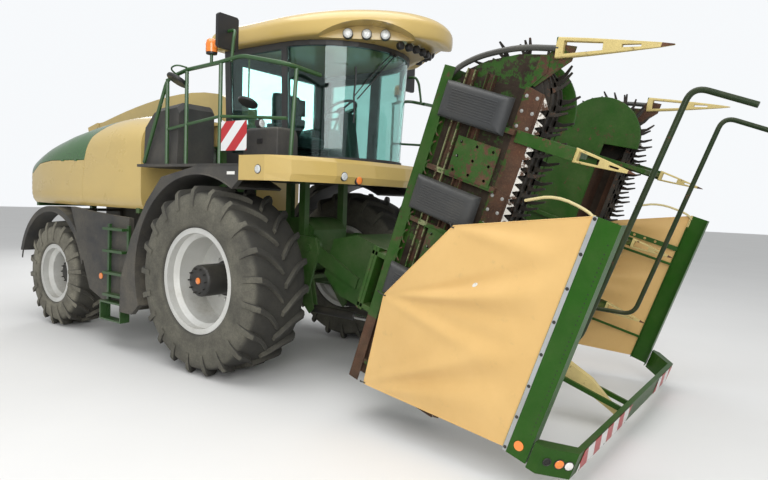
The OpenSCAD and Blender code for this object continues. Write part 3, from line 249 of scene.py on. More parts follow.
# Slow changes of shade over a painted or moulded face, with its fine unevenness
shade_effect, given, result = effect("shade_and_grain", {"Colour": (0.5, 0.5, 0.5, 1), "Change": 0.15,
                                                         "Grain Scale": 220.0},
                                     {"Colour": "Color", "Height": "Float", "Wear": "Float"})
slow = noise(shade_effect, 1.7, 5, 0.55)
swing = calc(shade_effect, "MULTIPLY", span(shade_effect, slow, 0.25, 0.75, -1.0, 1.0), given["Change"])
toned = add_node(shade_effect, "VectorMath", {0: given["Colour"]}, operation="SCALE",
                 Scale=calc(shade_effect, "ADD", swing, 1.0))
set_inputs(shade_effect, result, {"Colour": toned.outputs["Vector"], "Wear": slow,
                                  "Height": texture(shade_effect, "Noise", Scale=given["Grain Scale"], Detail=3)})


def surface(name, colour, roughness, dust=0.5, change=0.15, grain=220.0, depth=0.0004, metallic=0.0, coat=0.0,
            clean_height=2.6, patch=2.5, spread=0.12):
    """Paint, plastic or bare metal with slow shade changes, grain and field dust over it."""
    material, tree, shader = new_material(name, colour, roughness, metallic)
    toned = add_node(tree, "Group", node_tree=shade_effect, Colour=colour, Change=change, Grain_Scale=grain).outputs
    veil = add_node(tree, "Group", node_tree=dust_effect, Amount=dust, Patch_Scale=patch,
                    Clean_Height=clean_height).outputs["Mask"]
    dull = span(tree, toned["Wear"], 0.3, 0.7, max(0.05, roughness - spread), min(1.0, roughness + spread))
    set_inputs(tree, shader, {
        "Base Color": blend(tree, veil, toned["Colour"], (0.27, 0.235, 0.165)),
                              "Roughness": blend_value(tree, veil, dull, 0.9),
        "Normal": bumps(tree, toned["Height"], 0.6, depth), "Coat Weight": coat, "Coat Roughness": 0.12})
    return material


def dress(material, *names):
    """Gives CAD nodes that keep their shape a finish."""
    for name in names:
        node = frame["nodes"][name]
        if not node.material_slots:
            node.data.materials.append(None)
        for place in node.material_slots:
            place.link = "OBJECT"
            place.material = material


chassis_green = surface("chassis_green", (0.022, 0.088, 0.010), 0.42, dust=0.45)
dress(chassis_green, "main_frame", "drum_housing", "body_supports", "front_axle", "rear_axle", "knuckle_right",
      "knuckle_left")

# ---------------------------------------------------------------- Engine
# One cast iron block with its ribs left plain, as it is out of sight under the hood.
dress(surface("engine_iron", (0.055, 0.055, 0.052), 0.6, dust=0.8, grain=90, depth=0.001), "engine_block")

# ---------------------------------------------------------------- Tyres
# Radial drive tyres with long curved lugs, set alternately on the two halves of the tread.
# Moulded black rubber, grey-brown with dried dust, most of it on the walls.
lug_height = 50


def wheel_point(wheel, r, angle, out):
    """A point of a wheel: radius and angle round the axle, and the distance outwards from its middle plane."""
    x, side, z, track = wheel
    return at(x + r * math.cos(angle), side * (track + out), z + r * math.sin(angle))


def smooth_profile(points, times=2):
    """Chaikin corner cutting of an open profile."""
    for _ in range(times):
        cut = [points[0]]
        for a, b in zip(points, points[1:]):
            cut += [tuple(0.75 * p + 0.25 * q for p, q in zip(a, b)), tuple(0.25 * p + 0.75 * q for p, q in zip(a, b))]
        points = cut + [points[-1]]
    return points


def revolve(points_of, profile, turns=128, closed=True):
    """A profile turned round an axle; points_of gives the point for a radius, an angle and an offset."""
    points = [points_of(r, 2 * math.pi * k / turns, out) for k in range(turns) for r, out in profile]
    return points, bands(len(profile), turns, closed=closed, wrap=True)


def lug(points, faces, wheel, middle, side, ground, half):
    """Adds a curved lug that leans back from the tread's middle to its shoulder."""
    first, r = len(points), wheel[2]
    stations = [0, 0.08, 0.2, 0.35, 0.5, 0.68, 0.84, 0.93, 1.0]
    for t in stations:
        out = 14 + t * (half + 4)
        lean_back = 0.125 * (1 - 2 * (1 - t) ** 1.8)
        foot, top = ground(out)
        half_top, half_foot = (20 + 8 * t) / r, (30 + 10 * t) / r
        if t in (0, 1):
            top -= 9
        for turn, radius in ((-half_foot, foot), (-half_top - 0.004, top - 8), (-half_top + 0.004, top),
                             (half_top - 0.004, top), (half_top + 0.004, top - 8), (half_foot, foot)):
            points.append(wheel_point(wheel, radius, middle + lean_back + turn, side * out))
    faces += bands(6, len(stations), first, closed=False)
    faces += [tuple(first + start + j for j in range(6)) for start in (0, 6 * (len(stations) - 1))]


def tyre(name, wheel, width, rim_r, lugs, material, body):
    r, half = wheel[2], width / 2
    crown = r - lug_height
    wall = smooth_profile([(rim_r + 6, half - 26), (rim_r + 22, half - 4), (rim_r + 60, half + 6), (r - 220, half + 10),
                           (r - 110, half - 6), (crown - 20, half - 40), (crown - 3, half * 0.6), (crown, 0)])
    # moulded bands on the wall
    for i, (a, b) in enumerate(wall):
        if any(low < (a - rim_r) / (r - rim_r) < high for low, high in ((0.30, 0.36), (0.50, 0.53))):
            wall[i] = (a, b + 3)
    outer = [(rim_r - 40, half - 62), (rim_r - 7, half - 44), (rim_r + 2, half - 42)] + wall
    inside = [(rim_r - 40, 100 - half), (r - 170, 60 - half), (r - 120, 0), (r - 170, half - 60),
              (rim_r - 40, half - 100)]
    profile = outer + [(a, -b) for a, b in reversed(outer[:-1])] + inside
    points, faces = revolve(lambda a, b, c: wheel_point(wheel, a, b, c), profile)

    def ground(out):
        """Radius of the carcass and of the lug tops at a distance from the middle plane."""
        t = abs(out) / half
        foot = crown - 3 * t - 24 * max(0, (t - 0.8) / 0.2) ** 2 - 90 * max(0, (t - 0.95) / 0.08) ** 1.5
        top = r - 3 * t - 22 * max(0, (t - 0.8) / 0.2) ** 2 - 95 * max(0, (t - 0.95) / 0.085) ** 1.3
        return foot - 14, max(top, foot + 6)

    for side in (1, -1):
        for k in range(lugs):
            lug(points, faces, wheel, 2 * math.pi * (k + (0 if side > 0 else 0.5)) / lugs, side, ground, half)
    finish(new_piece("rubber_" + name, points, faces, 32), material, body, replaces=name)


def rubber(name, dusted):
    """Black rubber with dried dust, most of it on the walls."""
    material, tree, shader = new_material(name, (0.03, 0.029, 0.027), 0.85)
    fine = noise(tree, 60, 5, 0.7)
    outward = add_node(tree, "SeparateXYZ", {0: place_of(tree, "Normal")}).outputs["Y"]
    veil = calc(tree, "MULTIPLY", span(tree, calc(tree, "ABSOLUTE", outward), 0.35, 0.9, 0.22, 1.0),
                span(tree, noise(tree, 3.2, 8, 0.65), 0.32, 0.66, 0.35, 1.0))
    veil = calc(tree, "MULTIPLY", veil, span(tree, fine, 0.3, 0.7, 0.55, 1.0))
    set_inputs(tree, shader, {"Base Color": blend(tree, veil, (0.022, 0.021, 0.019), dusted),
                              "Normal": bumps(tree, fine, 0.55, 0.003)})
    return material


front_r, rear_r, rear_x = 1000, 730, -3400
front_rubber = rubber("front_rubber", (0.165, 0.156, 0.12))
rear_rubber = rubber("rear_rubber", (0.30, 0.28, 0.215))
wheels = {}
for side, hand in sides:
    front, rear = "front_wheel_" + hand, "rear_wheel_" + hand
    wheels[front] = (0, side, front_r, 1190)
    wheels[rear] = (rear_x, side, rear_r, 1090)
    tyre("front_tyre_" + hand, wheels[front], 720, 558, 21, front_rubber, front)
    tyre("rear_tyre_" + hand, wheels[rear], 540, 406, 18, rear_rubber, rear)

# ---------------------------------------------------------------- Rims and hubs
# Steel rims turned on the CAD profile, in silver paint that is dusty inside; a black planetary hub
# with a ring of nuts round it, rounded at its end, with an orange reflector in the front ones.
rim_silver = surface("rim_silver", (0.66, 0.66, 0.63), 0.36, dust=0.35, change=0.08, metallic=0.25, spread=0.08,
                     patch=4.0)
dress(rim_silver, "front_rim_right", "front_rim_left", "rear_rim_right", "rear_rim_left")
hub_black = surface("hub_black", (0.012, 0.012, 0.012), 0.42, dust=0.14, grain=120)
reflector_orange = surface("reflector_orange", (0.85, 0.22, 0.02), 0.25, dust=0.1, coat=0.8)


def turned_part(name, wheel, profile, material, body):
    points, faces = revolve(lambda a, b, c: wheel_point(wheel, a, b, c), profile, 64, closed=False)
    finish(new_piece(name, points, faces), material, body)


def nut_ring(name, wheel, radius, out, count, size, material, body):
    """Hexagon nuts, each on its washer, in a ring round the axle."""
    x, side, z, track = wheel
    levels = ((-4, 1.25), (3, 1.25), (3.2, 1), (22, 1), (26, 0.8))
    points, faces = [], []
    for c, s in round_steps(count):
        first = len(points)
        points += [at(x + radius * c + size * wide * p, side * (track + out + up), z + radius * s + size * wide * q)
                   for up, wide in levels for p, q in round_steps(6)]
        faces += bands(6, len(levels), first) + [tuple(first + 24 + j for j in range(6))]
    finish(new_piece(name, points, faces, 30), material, body)


disc_face = -68
for body, wheel in wheels.items():
    hub, face = (169, 301) if body.startswith("front") else (168, 62)
    turned_part(body + "_hub_shell", wheel, [
        (hub + 26, disc_face + 2), (hub + 24, disc_face + 16), (hub + 6, disc_face + 22), (hub, disc_face + 30),
                                             (hub, face - 34),
        (hub - 6, face - 14), (hub - 22, face + 1), (hub - 50, face + 6), (58, face + 8), (46, face + 2),
                                             (0.5, face + 2)], hub_black, body)
    nut_ring(body + "_nuts", wheel, hub + 62, disc_face + 1, 12, 17, rim_silver, body)
    nut_ring(body + "_hub_bolts", wheel, hub - 38, face + 6, 10, 9, hub_black, body)
    if body.startswith("front"):
        turned_part(body + "_reflector", wheel, [(34, face + 2), (34, face + 9), (29, face + 12), (0.5, face + 13)],
                    reflector_orange, body)

# ---------------------------------------------------------------- Hood and side flaps
# Moulded panels on the hood's drawn sections: a green top and a beige rear with a flap on each side.
# Glossy paint, a little dusty; the seams are the real gaps between the panels.
hood_half_w, hood_low_z = 1360, 1700
# Each section: x, share of the half width, top, height of the side
hood_sections = [(-4480, 0.70, 2180, 1900), (-4400, 0.86, 2330, 2000), (-4150, 0.95, 2480, 2100),
                 (-3700, 0.99, 2620, 2220),
                 (-3200, 1.0, 2740, 2310), (-2500, 1.0, 2850, 2400), (-1900, 1.0, 2895, 2450),
                 (-1320, 0.98, 2900, 2450)]
flap_rear, flap_front, flap_top = -4130, -2550, 2290
seam = 3


def between(sections, steps):
    """Catmull-Rom sections between the drawn ones, at evenly ordered stations."""
    out = []
    for i in range(len(sections) - 1):
        a, b, c, d = (sections[max(0, min(len(sections) - 1, i + k))] for k in (-1, 0, 1, 2))
        for t in (s / steps for s in range(steps)):
            curved = [q + 0.5 * t * (r - p + t * (2 * p - 5 * q + 4 * r - w + t * (3 * (q - r) + w - p)))
                      for p, q, r, w in zip(a, b, c, d)]
            out.append((b[0] + (c[0] - b[0]) * t, *curved[1:]))
    return out + [sections[-1]]


def hood_ring(section, inset, steps=22):
    x, factor, top, side = section
    hw, top = factor * hood_half_w - inset, top - inset
    ring = [(x, -hw + 60, hood_low_z - 1), (x, -hw + 18, hood_low_z + 60), (x, -hw + 3, hood_low_z + 130),
            (x, -hw, hood_low_z + 200)]
    for i in range(steps + 1):
        a = math.pi / 2 * i / steps
        wide = (0.45 + 0.55 * max(0, math.cos(a)) ** 0.9) * (0.9 if i == steps else 1)
        ring.append((x, -hw * wide, side + (top - side) * math.sin(a) ** 0.9))
    return ring + [(px, -py, pz) for px, py, pz in reversed(ring)]


def loft(name, rings, crease=35):
    """A closed solid through rings with the same number of points."""
    n = len(rings[0])
    faces = [tuple(range(n)), tuple((len(rings) - 1) * n + i for i in reversed(range(n)))]
    return new_piece(name, [at(*p) for ring in rings for p in ring], faces + bands(n, len(rings)), crease)


def prism(name, outline, y0, y1):
    """A solid with an outline in X and Z, from y0 to y1."""
    return loft(name, [[(x, y, z) for x, z in outline] for y in (y0, y1)])


def drum(name, centre, direction, r, length, count=64):
    """A round bar from a centre along a direction, all in millimetres."""
    d, e, f = across(direction)
    return loft(name, [[tuple(Vector(centre) + d * s + r * (e * p + f * q)) for p, q in round_steps(count)]
                       for s in (0, length)])


def oblong(x0, x1, z0, z1):
    return [(x0, z0), (x1, z0), (x1, z1), (x0, z1)]


def carve(piece, *steps, crease=35):
    """Cuts a piece with others, which are then removed; a step is a cutter, or an operation and its cutter."""
    steps = [step if isinstance(step, tuple) else ("DIFFERENCE", step) for step in steps]
    for operation, cutter in steps:
        cut = piece.modifiers.new("cut", "BOOLEAN")
        cut.operation, cut.object, cut.solver = operation, cutter, "EXACT"
    shape = flattened(piece)
    piece.modifiers.clear()
    piece.data = shape
    shade(shape, crease)
    for _, cutter in steps:
        bpy.data.objects.remove(cutter)
    return piece


def hood_solid(name):
    """The whole hood, hollow and open below, with a notch for the discharge tower."""
    fine = between(hood_sections, 4)
    outer = loft(name, [hood_ring(s, 0) for s in fine])
    rings = [hood_ring((max(-4450, -1350 if s[0] > -1400 else s[0]), *s[1:]), 30) for s in fine]
    for ring in rings:
        # the cutter reaches lower beside the floor
        for i in (0, 51):
            ring[i] = (*ring[i][:2], ring[i][2] - 40)
    inside = loft("inside", rings)
    return carve(outer, inside, prism("under", oblong(-5000, -1000, 1600, 1702), -2000, 2000),
                 drum("notch", (-1300, 0, 1500), (0, 0, 1), 345, 2000))


def flap_hole(gap):
    front, top = flap_front + gap, flap_top + gap
    return [(flap_rear - gap, 1500), (flap_rear - gap, hood_low_z - 40), (flap_rear + 30 - gap, top - 170),
            (flap_rear + 300, top - 40),
            (flap_rear + 700, top), (front - 14, top), (front - 14, flap_top - 60), (front - 60, flap_top - 300),
            (front - 60, 1500)]


def top_zone(drop):
    split = flap_front - 10
    line = [(flap_rear - 700, flap_top - 206), (flap_rear + 30, flap_top - 166), (flap_rear + 300, flap_top - 36),
            (flap_rear + 700, flap_top + 4),
            (split - 4, flap_top + 4), (split + 120, 2600), (split + 420, 2840), (-1200, 2840)]
    return [(x, z - drop) for x, z in line] + [(-1200, 3100), (-5000, 3100)]


hood_green = surface("hood_green", (0.024, 0.115, 0.016), 0.3, dust=0.22, change=0.06, grain=400, depth=0.0001,
                     coat=0.5, patch=1.2)
hood_beige = surface("hood_beige", (0.60, 0.435, 0.145), 0.34, dust=0.25, change=0.05, grain=400, depth=0.0001,
                     coat=0.5, patch=1.2)
green_top = carve(hood_solid("hood_top_skin"), ("INTERSECT", prism("zone", top_zone(-seam), -2000, 2000)))
finish(green_top, hood_green, "chassis", replaces="hood_top")
slots = [prism("slot", oblong(flap_rear - 190, flap_rear - 40, 1780 + i * 75, 1806 + i * 75), 900 * side, 1500 * side)
         for side in (1, -1) for i in range(5)]
slots += [prism("slot", oblong(-4700, -4300, 1760 + i * 70, 1790 + i * 70), -560, 560) for i in range(6)]
beige_rear = carve(hood_solid("hood_rear_skin"), prism("zone", top_zone(seam), -2000, 2000),
                   prism("hole", flap_hole(4), -2000, 2000), *slots)
finish(beige_rear, hood_beige, "chassis", replaces="hood_rear")
for side, hand in sides:
    flap = carve(hood_solid("flap_skin_" + hand), ("INTERSECT", prism("panel", flap_hole(0), 500 * side, 2000 * side)))
    finish(flap, hood_beige, "side_flap_" + hand, replaces="side_flap_" + hand)
    for x in (-2800, -3150):
        for dx, body in ((0, "chassis"), (31, "side_flap_" + hand)):
            barrel = drum("flap_hinge_%s_%d_%d" % (hand, -x, dx), (x + dx, side * (hood_half_w + 2), flap_top + 2),
                          (1, 0, 0), 12, 28, 24)
            finish(barrel, hood_green, body)

# ---------------------------------------------------------------- Cab frame and door
# Moulded anthracite pillars and sill round the cab, and the door's frame, in satin plastic and paint.
dress(surface("anthracite", (0.030, 0.030, 0.031), 0.5, dust=0.3, change=0.1, grain=300, depth=0.0004), "cab_frame",
      "cab_door")

# ---------------------------------------------------------------- Cab glass
# Tinted panes 8 mm thick: a round windscreen and flat side, rear and door panes, glued to the pillars.
cab_half_w, cab_nose, sill, eave = 860, 500, 2350, 3540
glass_out, glass_in = -20, -28


def lean(z):
    """Share of the cab's half width at a height, as its walls lean in downwards."""
    return 0.93 + 0.07 * (z - 2180) / (eave - 2180)


def border(columns, rows):
    """Indices round the edge of a grid, in order."""
    return ([c for c in range(columns)] + [r * columns + columns - 1 for r in range(1, rows)] +
            [(rows - 1) * columns + c for c in reversed(range(columns - 1))] +
            [r * columns for r in reversed(range(1, rows - 1))])


def sheet_faces(columns, rows):
    """Faces of a thin closed sheet: an outer grid, an inner one and the edge between them."""
    n, rim = columns * rows, border(columns, rows)
    faces = []
    for a in (r * columns + c for r in range(rows - 1) for c in range(columns - 1)):
        faces += [(a, a + 1, a + columns + 1, a + columns), (n + a, n + a + columns, n + a + columns + 1, n + a + 1)]
    return faces + [(a, b, n + b, n + a) for a, b in zip(rim, rim[1:] + rim[:1])]


def thin_glass(name, pane, columns, body, replaces=None):
    """A pane between two grids of points; pane gives the grid at an offset outwards."""
    outer, inner = pane(glass_out), pane(glass_in)
    piece = new_piece(name, [at(*p) for p in outer + inner], sheet_faces(columns, len(outer) // columns), 30)
    finish(piece, tinted, body, replaces=replaces)


def round_pane(grow):
    grid = []
    for z in (sill + 1 + (eave - 52 - sill) * k / 8 for k in range(9)):
        hw = (cab_half_w + grow) * lean(z)
        reach = math.acos(63 / (hw + 20))
        grid += [(cab_nose + (hw + 20) * math.cos(a), hw * math.sin(a), z)
                 for a in (reach * (2 * i / 56 - 1) for i in range(57))]
    return grid


def side_pane(x0, x1, z0, z1, side):
    return lambda grow: [(x, side * (cab_half_w + grow) * lean(z), z) for z in (z0, (z0 + z1) / 2, z1)
                         for x in (x0, (x0 + x1) / 2, x1)]


def rear_pane(grow):
    return [(-420 - grow, y, z) for z in (2651, 3035, 3419) for y in (-639, 0, 639)]


tinted, tree, shader = new_material("tinted_glass", (0.50, 0.74, 0.70), 0.015)
film = noise(tree, 7, 6)
set_inputs(tree, shader, {"Transmission Weight": 1.0, "IOR": 1.45, "Roughness": span(tree, film, 0.4, 0.75, 0.01, 0.10),
                          "Normal": bumps(tree, film, 0.08, 0.001)})
see = add_node(tree, "BsdfTransparent", Color=(0.60, 0.80, 0.77))
rays = add_node(tree, "LightPath").outputs
pass_light = calc(tree, "MAXIMUM", rays["Is Shadow Ray"], rays["Is Diffuse Ray"])
both = add_node(tree, "MixShader", {0: pass_light, 1: shader.outputs["BSDF"], 2: see.outputs["BSDF"]})
set_inputs(tree, tree.nodes["Material Output"], {"Surface": both.outputs[0]})
thin_glass("windscreen", round_pane, 57, "chassis", "cab_glass")
thin_glass("right_pane", side_pane(-329, 489, sill + 41, eave - 71, -1), 3, "chassis")
thin_glass("rear_pane", rear_pane, 3, "chassis")
thin_glass("door_pane", side_pane(-249, 419, 2361, 3409, 1), 3, "cab_door", "cab_door_glass")

# ---------------------------------------------------------------- Cab roof
# One beige moulding with a rounded brim that hangs over the windscreen and is scooped out over each front corner.
roof_half_w, roof_nose, roof_back = 980, 1960, -550


def roof_ring(z, inset, steps=56):
    back, half = roof_back + inset, roof_half_w - inset
    ring = [(back, half - 60, z), (back, -half + 60, z), (back + 60, -half, z)]
    for a in (-math.pi / 2 + math.pi * i / steps for i in range(steps + 1)):
        ring.append((cab_nose + (roof_nose - cab_nose - inset) * math.cos(a), half * math.sin(a), z))
    return ring + [(back + 60, half, z)]


edge = smooth_profile([(3541, 66), (3545, 24), (3570, 0), (3640, -6), (3710, 0), (3790, 90), (3840, 260), (3880, 420),
                       (3893, 560)])
roof = loft("roof_moulding", [roof_ring(z, inset) for z, inset in edge])
scoop_r, scoop_turn = 1000, math.radians(53)
scoop_x, scoop_y = cab_nose + 0.595 * (roof_nose - cab_nose), 0.535 * roof_half_w
carve(roof, *[drum("scoop", (scoop_x, side * scoop_y, eave + 130 - scoop_r),
                   (math.cos(scoop_turn), side * math.sin(scoop_turn), 0), scoop_r, 900, 160)
              for side in (1, -1)], crease=40)
cab_beige = surface("cab_beige", (0.53, 0.375, 0.115), 0.34, dust=0.15, change=0.05, grain=400, depth=0.0001, coat=0.5,
                    patch=1.2, clean_height=4.5)
finish(roof, cab_beige, "chassis", replaces="cab_roof")

# ---------------------------------------------------------------- Fenders, deck and storage boxes
# Matt moulded plastic in anthracite with a fine grain, and steel deck plates in the same colour. A rolled lip
# follows each arch, and a small orange reflector sits on each skirt.
moulded = surface("moulded_anthracite", (0.034, 0.034, 0.035), 0.62, dust=0.5, change=0.1, grain=500, depth=0.0006,
                  clean_height=3.2)
dress(moulded, "front_fenders", "rear_fenders", "deck", "storage_boxes")


def pipe(name, path, r, material, body, count=12, closed=False):
    """A round bar along points in millimetres, made as a curve and turned into a mesh."""
    curve = bpy.data.curves.new(name, "CURVE")
    curve.dimensions, curve.use_fill_caps = "3D", not closed
    curve.bevel_depth, curve.bevel_resolution = r / 1000, max(1, count // 4 - 1)
    line = curve.splines.new("POLY")
    line.points.add(len(path) - 1)
    for point, place in zip(line.points, path):
        point.co = (*at(*place), 1)
    line.use_cyclic_u = closed
    holder = new_object(name + "_curve", curve)
    mesh = flattened(holder)
    bpy.data.objects.remove(holder)
    shade(mesh, 50)
    return finish(new_object(name, mesh), material, body)


front_arch_r, rear_arch_r = 1116, 866
for side, hand in sides:
    pipe("front_arch_lip_" + hand, [(front_arch_r * c, side * 1527, front_r + front_arch_r * s)
                                    for c, s in round_steps(50, 62, 2.4)], 9, moulded, "chassis")
    pipe("rear_arch_lip_" + hand, [(rear_x + rear_arch_r * c, side * 1386, rear_r + rear_arch_r * s)
                                   for c, s in round_steps(61, 14, 2.6)],
         10, moulded, "chassis")
    finish(drum("skirt_reflector_" + hand, (-2080, side * 1388, 830), (0, side, 0), 38, 12, 32), reflector_orange,
           "chassis", 3)

# ---------------------------------------------------------------- Front panel
# The beige moulding that wraps the front corners, with a blank white label at its right end.
dress(cab_beige, "front_panel")
white_label = surface("white_label", (0.75, 0.74, 0.70), 0.5, dust=0.15, grain=200, depth=0.0001)
finish(prism("deck_label", oblong(470, 585, 2112, 2142), -1528, -1532.5), white_label, "chassis", 1)

# ---------------------------------------------------------------- Ladders and railings
# Bent steel tube and pressed steps, powder coated green. A plate with slanted stripes hangs on the right rail.
rail_green = surface("rail_green", (0.016, 0.070, 0.012), 0.36, dust=0.15, change=0.08, coat=0.3, clean_height=3.4)
dress(rail_green, "ladders", "rails_right", "rails_left")


def striped(name, red, pale, along, pitch, slope):
    """A sheet with slanted stripes: 'along' is the object-space axis they are counted on, slope leans them with Z."""
    material, tree, shader = new_material(name, pale, 0.4)
    axes = add_node(tree, "SeparateXYZ", {0: place_of(tree)}).outputs
    way = calc(tree, "DIVIDE", calc(tree, "ADD", axes[along], calc(tree, "MULTIPLY", axes["Z"], slope)), pitch)
    paint = blend(tree, calc(tree, "LESS_THAN", calc(tree, "FRACT", way), 0.5), pale, red)
    veil = add_node(tree, "Group", node_tree=dust_effect, Amount=0.10, Patch_Scale=4.0,
                    Clean_Height=3.5).outputs["Mask"]
    grain = noise(tree, 300, 2)
    set_inputs(tree, shader, {"Base Color": blend(tree, veil, paint, (0.35, 0.32, 0.25)),
                              "Normal": bumps(tree, grain, 0.3, 0.0002),
                              "Coat Roughness": grain, "Coat Weight": 0.3})
    return material


side_stripes = striped("side_plate_stripes", (0.44, 0.008, 0.014), (0.72, 0.72, 0.72), "X", 0.29, -1.0)
finish(prism("side_plate", oblong(300, 680, 2350, 2640), -1471.2, -1474), side_stripes, "chassis", 1)

# ---------------------------------------------------------------- Lamps, beacons and mirrors
# Round work lamps with a clear ribbed lens in a black cup; orange beacons on the rails; black mirror housings
# with a silvered glass at the back.
lamp_black = surface("lamp_black", (0.012, 0.012, 0.013), 0.42, dust=0.15, grain=300)
dress(lamp_black, "mirrors")
lens, tree, shader = new_material("lamp_lens", (0.80, 0.82, 0.80), 0.12)
cells = texture(tree, "Voronoi", "Distance", Scale=70)
tone = add_node(tree, "VectorMath", {0: (0.80, 0.82, 0.80)}, operation="SCALE",
                Scale=span(tree, cells, to_low=0.9, to_high=0.45))
set_inputs(tree, shader, {"Base Color": tone.outputs["Vector"], "Roughness": span(tree, cells, to_low=0.06,
                                                                                  to_high=0.3),
                          "Normal": bumps(tree, cells, 0.5, 0.002), "Coat Weight": 1.0})


def dome(name, centre, direction, r, bulge, material, body="chassis"):
    """A shallow round lens on a face that looks along a direction."""
    d, e, f = across(direction)
    levels, count = 5, 36
    points = [at(*(Vector(centre) + d * bulge * (1 - (1 - t) ** 2) + r * math.cos(t * math.pi / 2) * (e * p + f * q)))
              for t in (k / levels for k in range(levels)) for p, q in round_steps(count)]
    points.append(at(*(Vector(centre) + d * bulge)))
    last = (levels - 1) * count
    faces = bands(count, levels) + [(last + i, last + (i + 1) % count, last + count) for i in range(count)]
    return finish(new_piece(name, points, faces, 60), material, body)


def cup(name, centre, direction, r, length):
    """A round housing with a rounded rim, from a centre along a direction."""
    return finish(drum(name, centre, direction, r, length, 48), lamp_black, "chassis", 5, 3)


def level_way(side, turn):
    """Unit vector in the ground plane, turned from forward towards a side."""
    return Vector((math.cos(turn), side * math.sin(turn), 0))


for side, hand in sides:
    out, along = level_way(side, scoop_turn), Vector((-math.sin(scoop_turn), side * math.cos(scoop_turn), 0))
    for i, step in enumerate((-190, 0, 190)):
        spot = Vector((scoop_x, side * scoop_y, eave + 38)) + along * step
        case = cup("roof_lamp_%s_%d" % (hand, i), spot, out, 52, 60)
        if i == 0 and side < 0:
            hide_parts("lamps")
        dome("roof_lens_%s_%d" % (hand, i), spot + out * 60.5, out, 47, 12, lens)
    for i, turn in enumerate(math.radians(v) for v in (4, 11, 18)):
        spot, face = Vector((cab_nose + 1150 * math.cos(turn), side * 860 * math.sin(turn),
                             eave - 40)), level_way(side, turn)
        cup("brim_lamp_%s_%d" % (hand, i), spot, face, 40, 50)
        dome("brim_lens_%s_%d" % (hand, i), spot + face * 50.5, face, 34, 6, lamp_black)
    for i, (x, y, z, turn) in enumerate(((910, 1530, 2165, 90), (1452, 905, 2130, 10), (1486, 715, 2100, 10))):
        spot, face = Vector((x, side * y, z)), level_way(side, math.radians(turn))
        cup("panel_lamp_%s_%d" % (hand, i), spot - face * 28, face, 45, 32)
        dome("panel_lens_%s_%d" % (hand, i), spot + face * 4.5, face, 38, 8, lens if i < 2 else reflector_orange)
cup("rail_work_lamp", (790, -1432, 2605), (1, 0, 0), 42, 60)
dome("rail_lens", (851, -1432, 2605), (1, 0, 0), 38, 8, lens)
cap = [(58, 0), (60, 20), (60, 84), (52, 118), (34, 134), (0.5, 140)]
for k, (x, side) in enumerate(((100, -1), (430, 1))):
    points, faces = revolve(lambda r, a, h: at(x + r * math.cos(a), side * 1450 + r * math.sin(a), 3350 + h), cap, 40,
                            closed=False)
    finish(new_piece("beacon_cap_%d" % k, points, faces, 40), reflector_orange, "chassis")
    finish(drum("beacon_foot_%d" % k, (x, side * 1450, 3330), (0, 0, 1), 55, 22, 40), lamp_black, "chassis", 4)

silvered, tree, shader = new_material("mirror_glass", (0.75, 0.77, 0.78), 0.05, 1.0)
smear = noise(tree, 12, 5)
set_inputs(tree, shader, {"Base Color": blend(tree, smear, (0.70, 0.72, 0.74), (0.80, 0.82, 0.82)),
                          "Roughness": span(tree, smear, 0.4, 0.8, 0.03, 0.25),
                          "Normal": bumps(tree, smear, 0.05, 0.001)})
for k, (x, side) in enumerate(((250, -1), (620, 1))):
    glass = loft("mirror_glass_%d" % k, [[(x + d, side * 1370 + a, z) for a, z in oblong(-112, 112, 3400, 3700)]
                                         for d in (-33, -29)])
    finish(glass, silvered, "chassis", 1)
kerb_way = (0, -0.4067, -0.9135)
finish(drum("kerb_mirror", (670, -1450, 2822), kerb_way, 98, 28, 56), lamp_black, "chassis", 9, 4)
dome("kerb_mirror_glass", (670, -1461.6, 2821), kerb_way, 86, 5, silvered)
pipe("kerb_mirror_rod", [(670, -1450, 2835), (670, -1450, 3245)], 8, rail_green, "chassis")
finish(drum("rear_mirror", (-420, -1470, 3128), (-0.2, -0.45, -0.87), 120, 40, 56), lamp_black, "chassis", 14, 5)
loop = smooth_profile([(-300, -1450, 3236), (-330, -1560, 3250), (-450, -1560, 3220), (-420, -1462, 3150)], 3)
pipe("rear_mirror_loop", loop, 9, rail_green, "chassis", 16)

# ---------------------------------------------------------------- Third deck box and windscreen wiper
# A small moulded box beside the cab on the right, and a two-armed wiper with its blade on the windscreen.
box = loft("deck_box", [[(x, y, z) for x, y in oblong(360 + i, 860 - i, -1240 + i, -940 - i)]
                        for z, i in ((2223.3, 0), (2520, 4), (2585, 16), (2603, 44))])
finish(box, moulded, "chassis", 14, 3)
finish(prism("deck_box_latch", oblong(570, 650, 2440, 2490), -1246, -1236), lamp_black, "chassis", 4)


def on_screen(turn, z, lift):
    """A point on the windscreen: angle round the cab's nose and height, lifted off the glass."""
    hw = (cab_half_w - 20) * lean(z)
    a = math.radians(turn)
    return cab_nose + (hw + 20 + lift) * math.cos(a), (hw + lift) * math.sin(a), z


arms = [((-2, 3478), (-12, 3330), (-24, 3120), (-33, 2960)), ((-6, 3484), (-16, 3340), (-28, 3130), (-36, 2975))]
for k, arm in enumerate(arms):
    pipe("wiper_arm_%d" % (k + 1), [on_screen(t, z, 26) for t, z in arm], 7 - k, lamp_black, "chassis")
    finish(drum("wiper_pivot_%d" % k, on_screen(*arm[0], 2), (1, 0, 0), 20, 34, 28), lamp_black, "chassis", 4)
pipe("wiper_blade", [on_screen(-35 + 0.4 * math.sin(k), 3290 - 64 * k, 14) for k in range(10)], 9, lamp_black,
     "chassis")

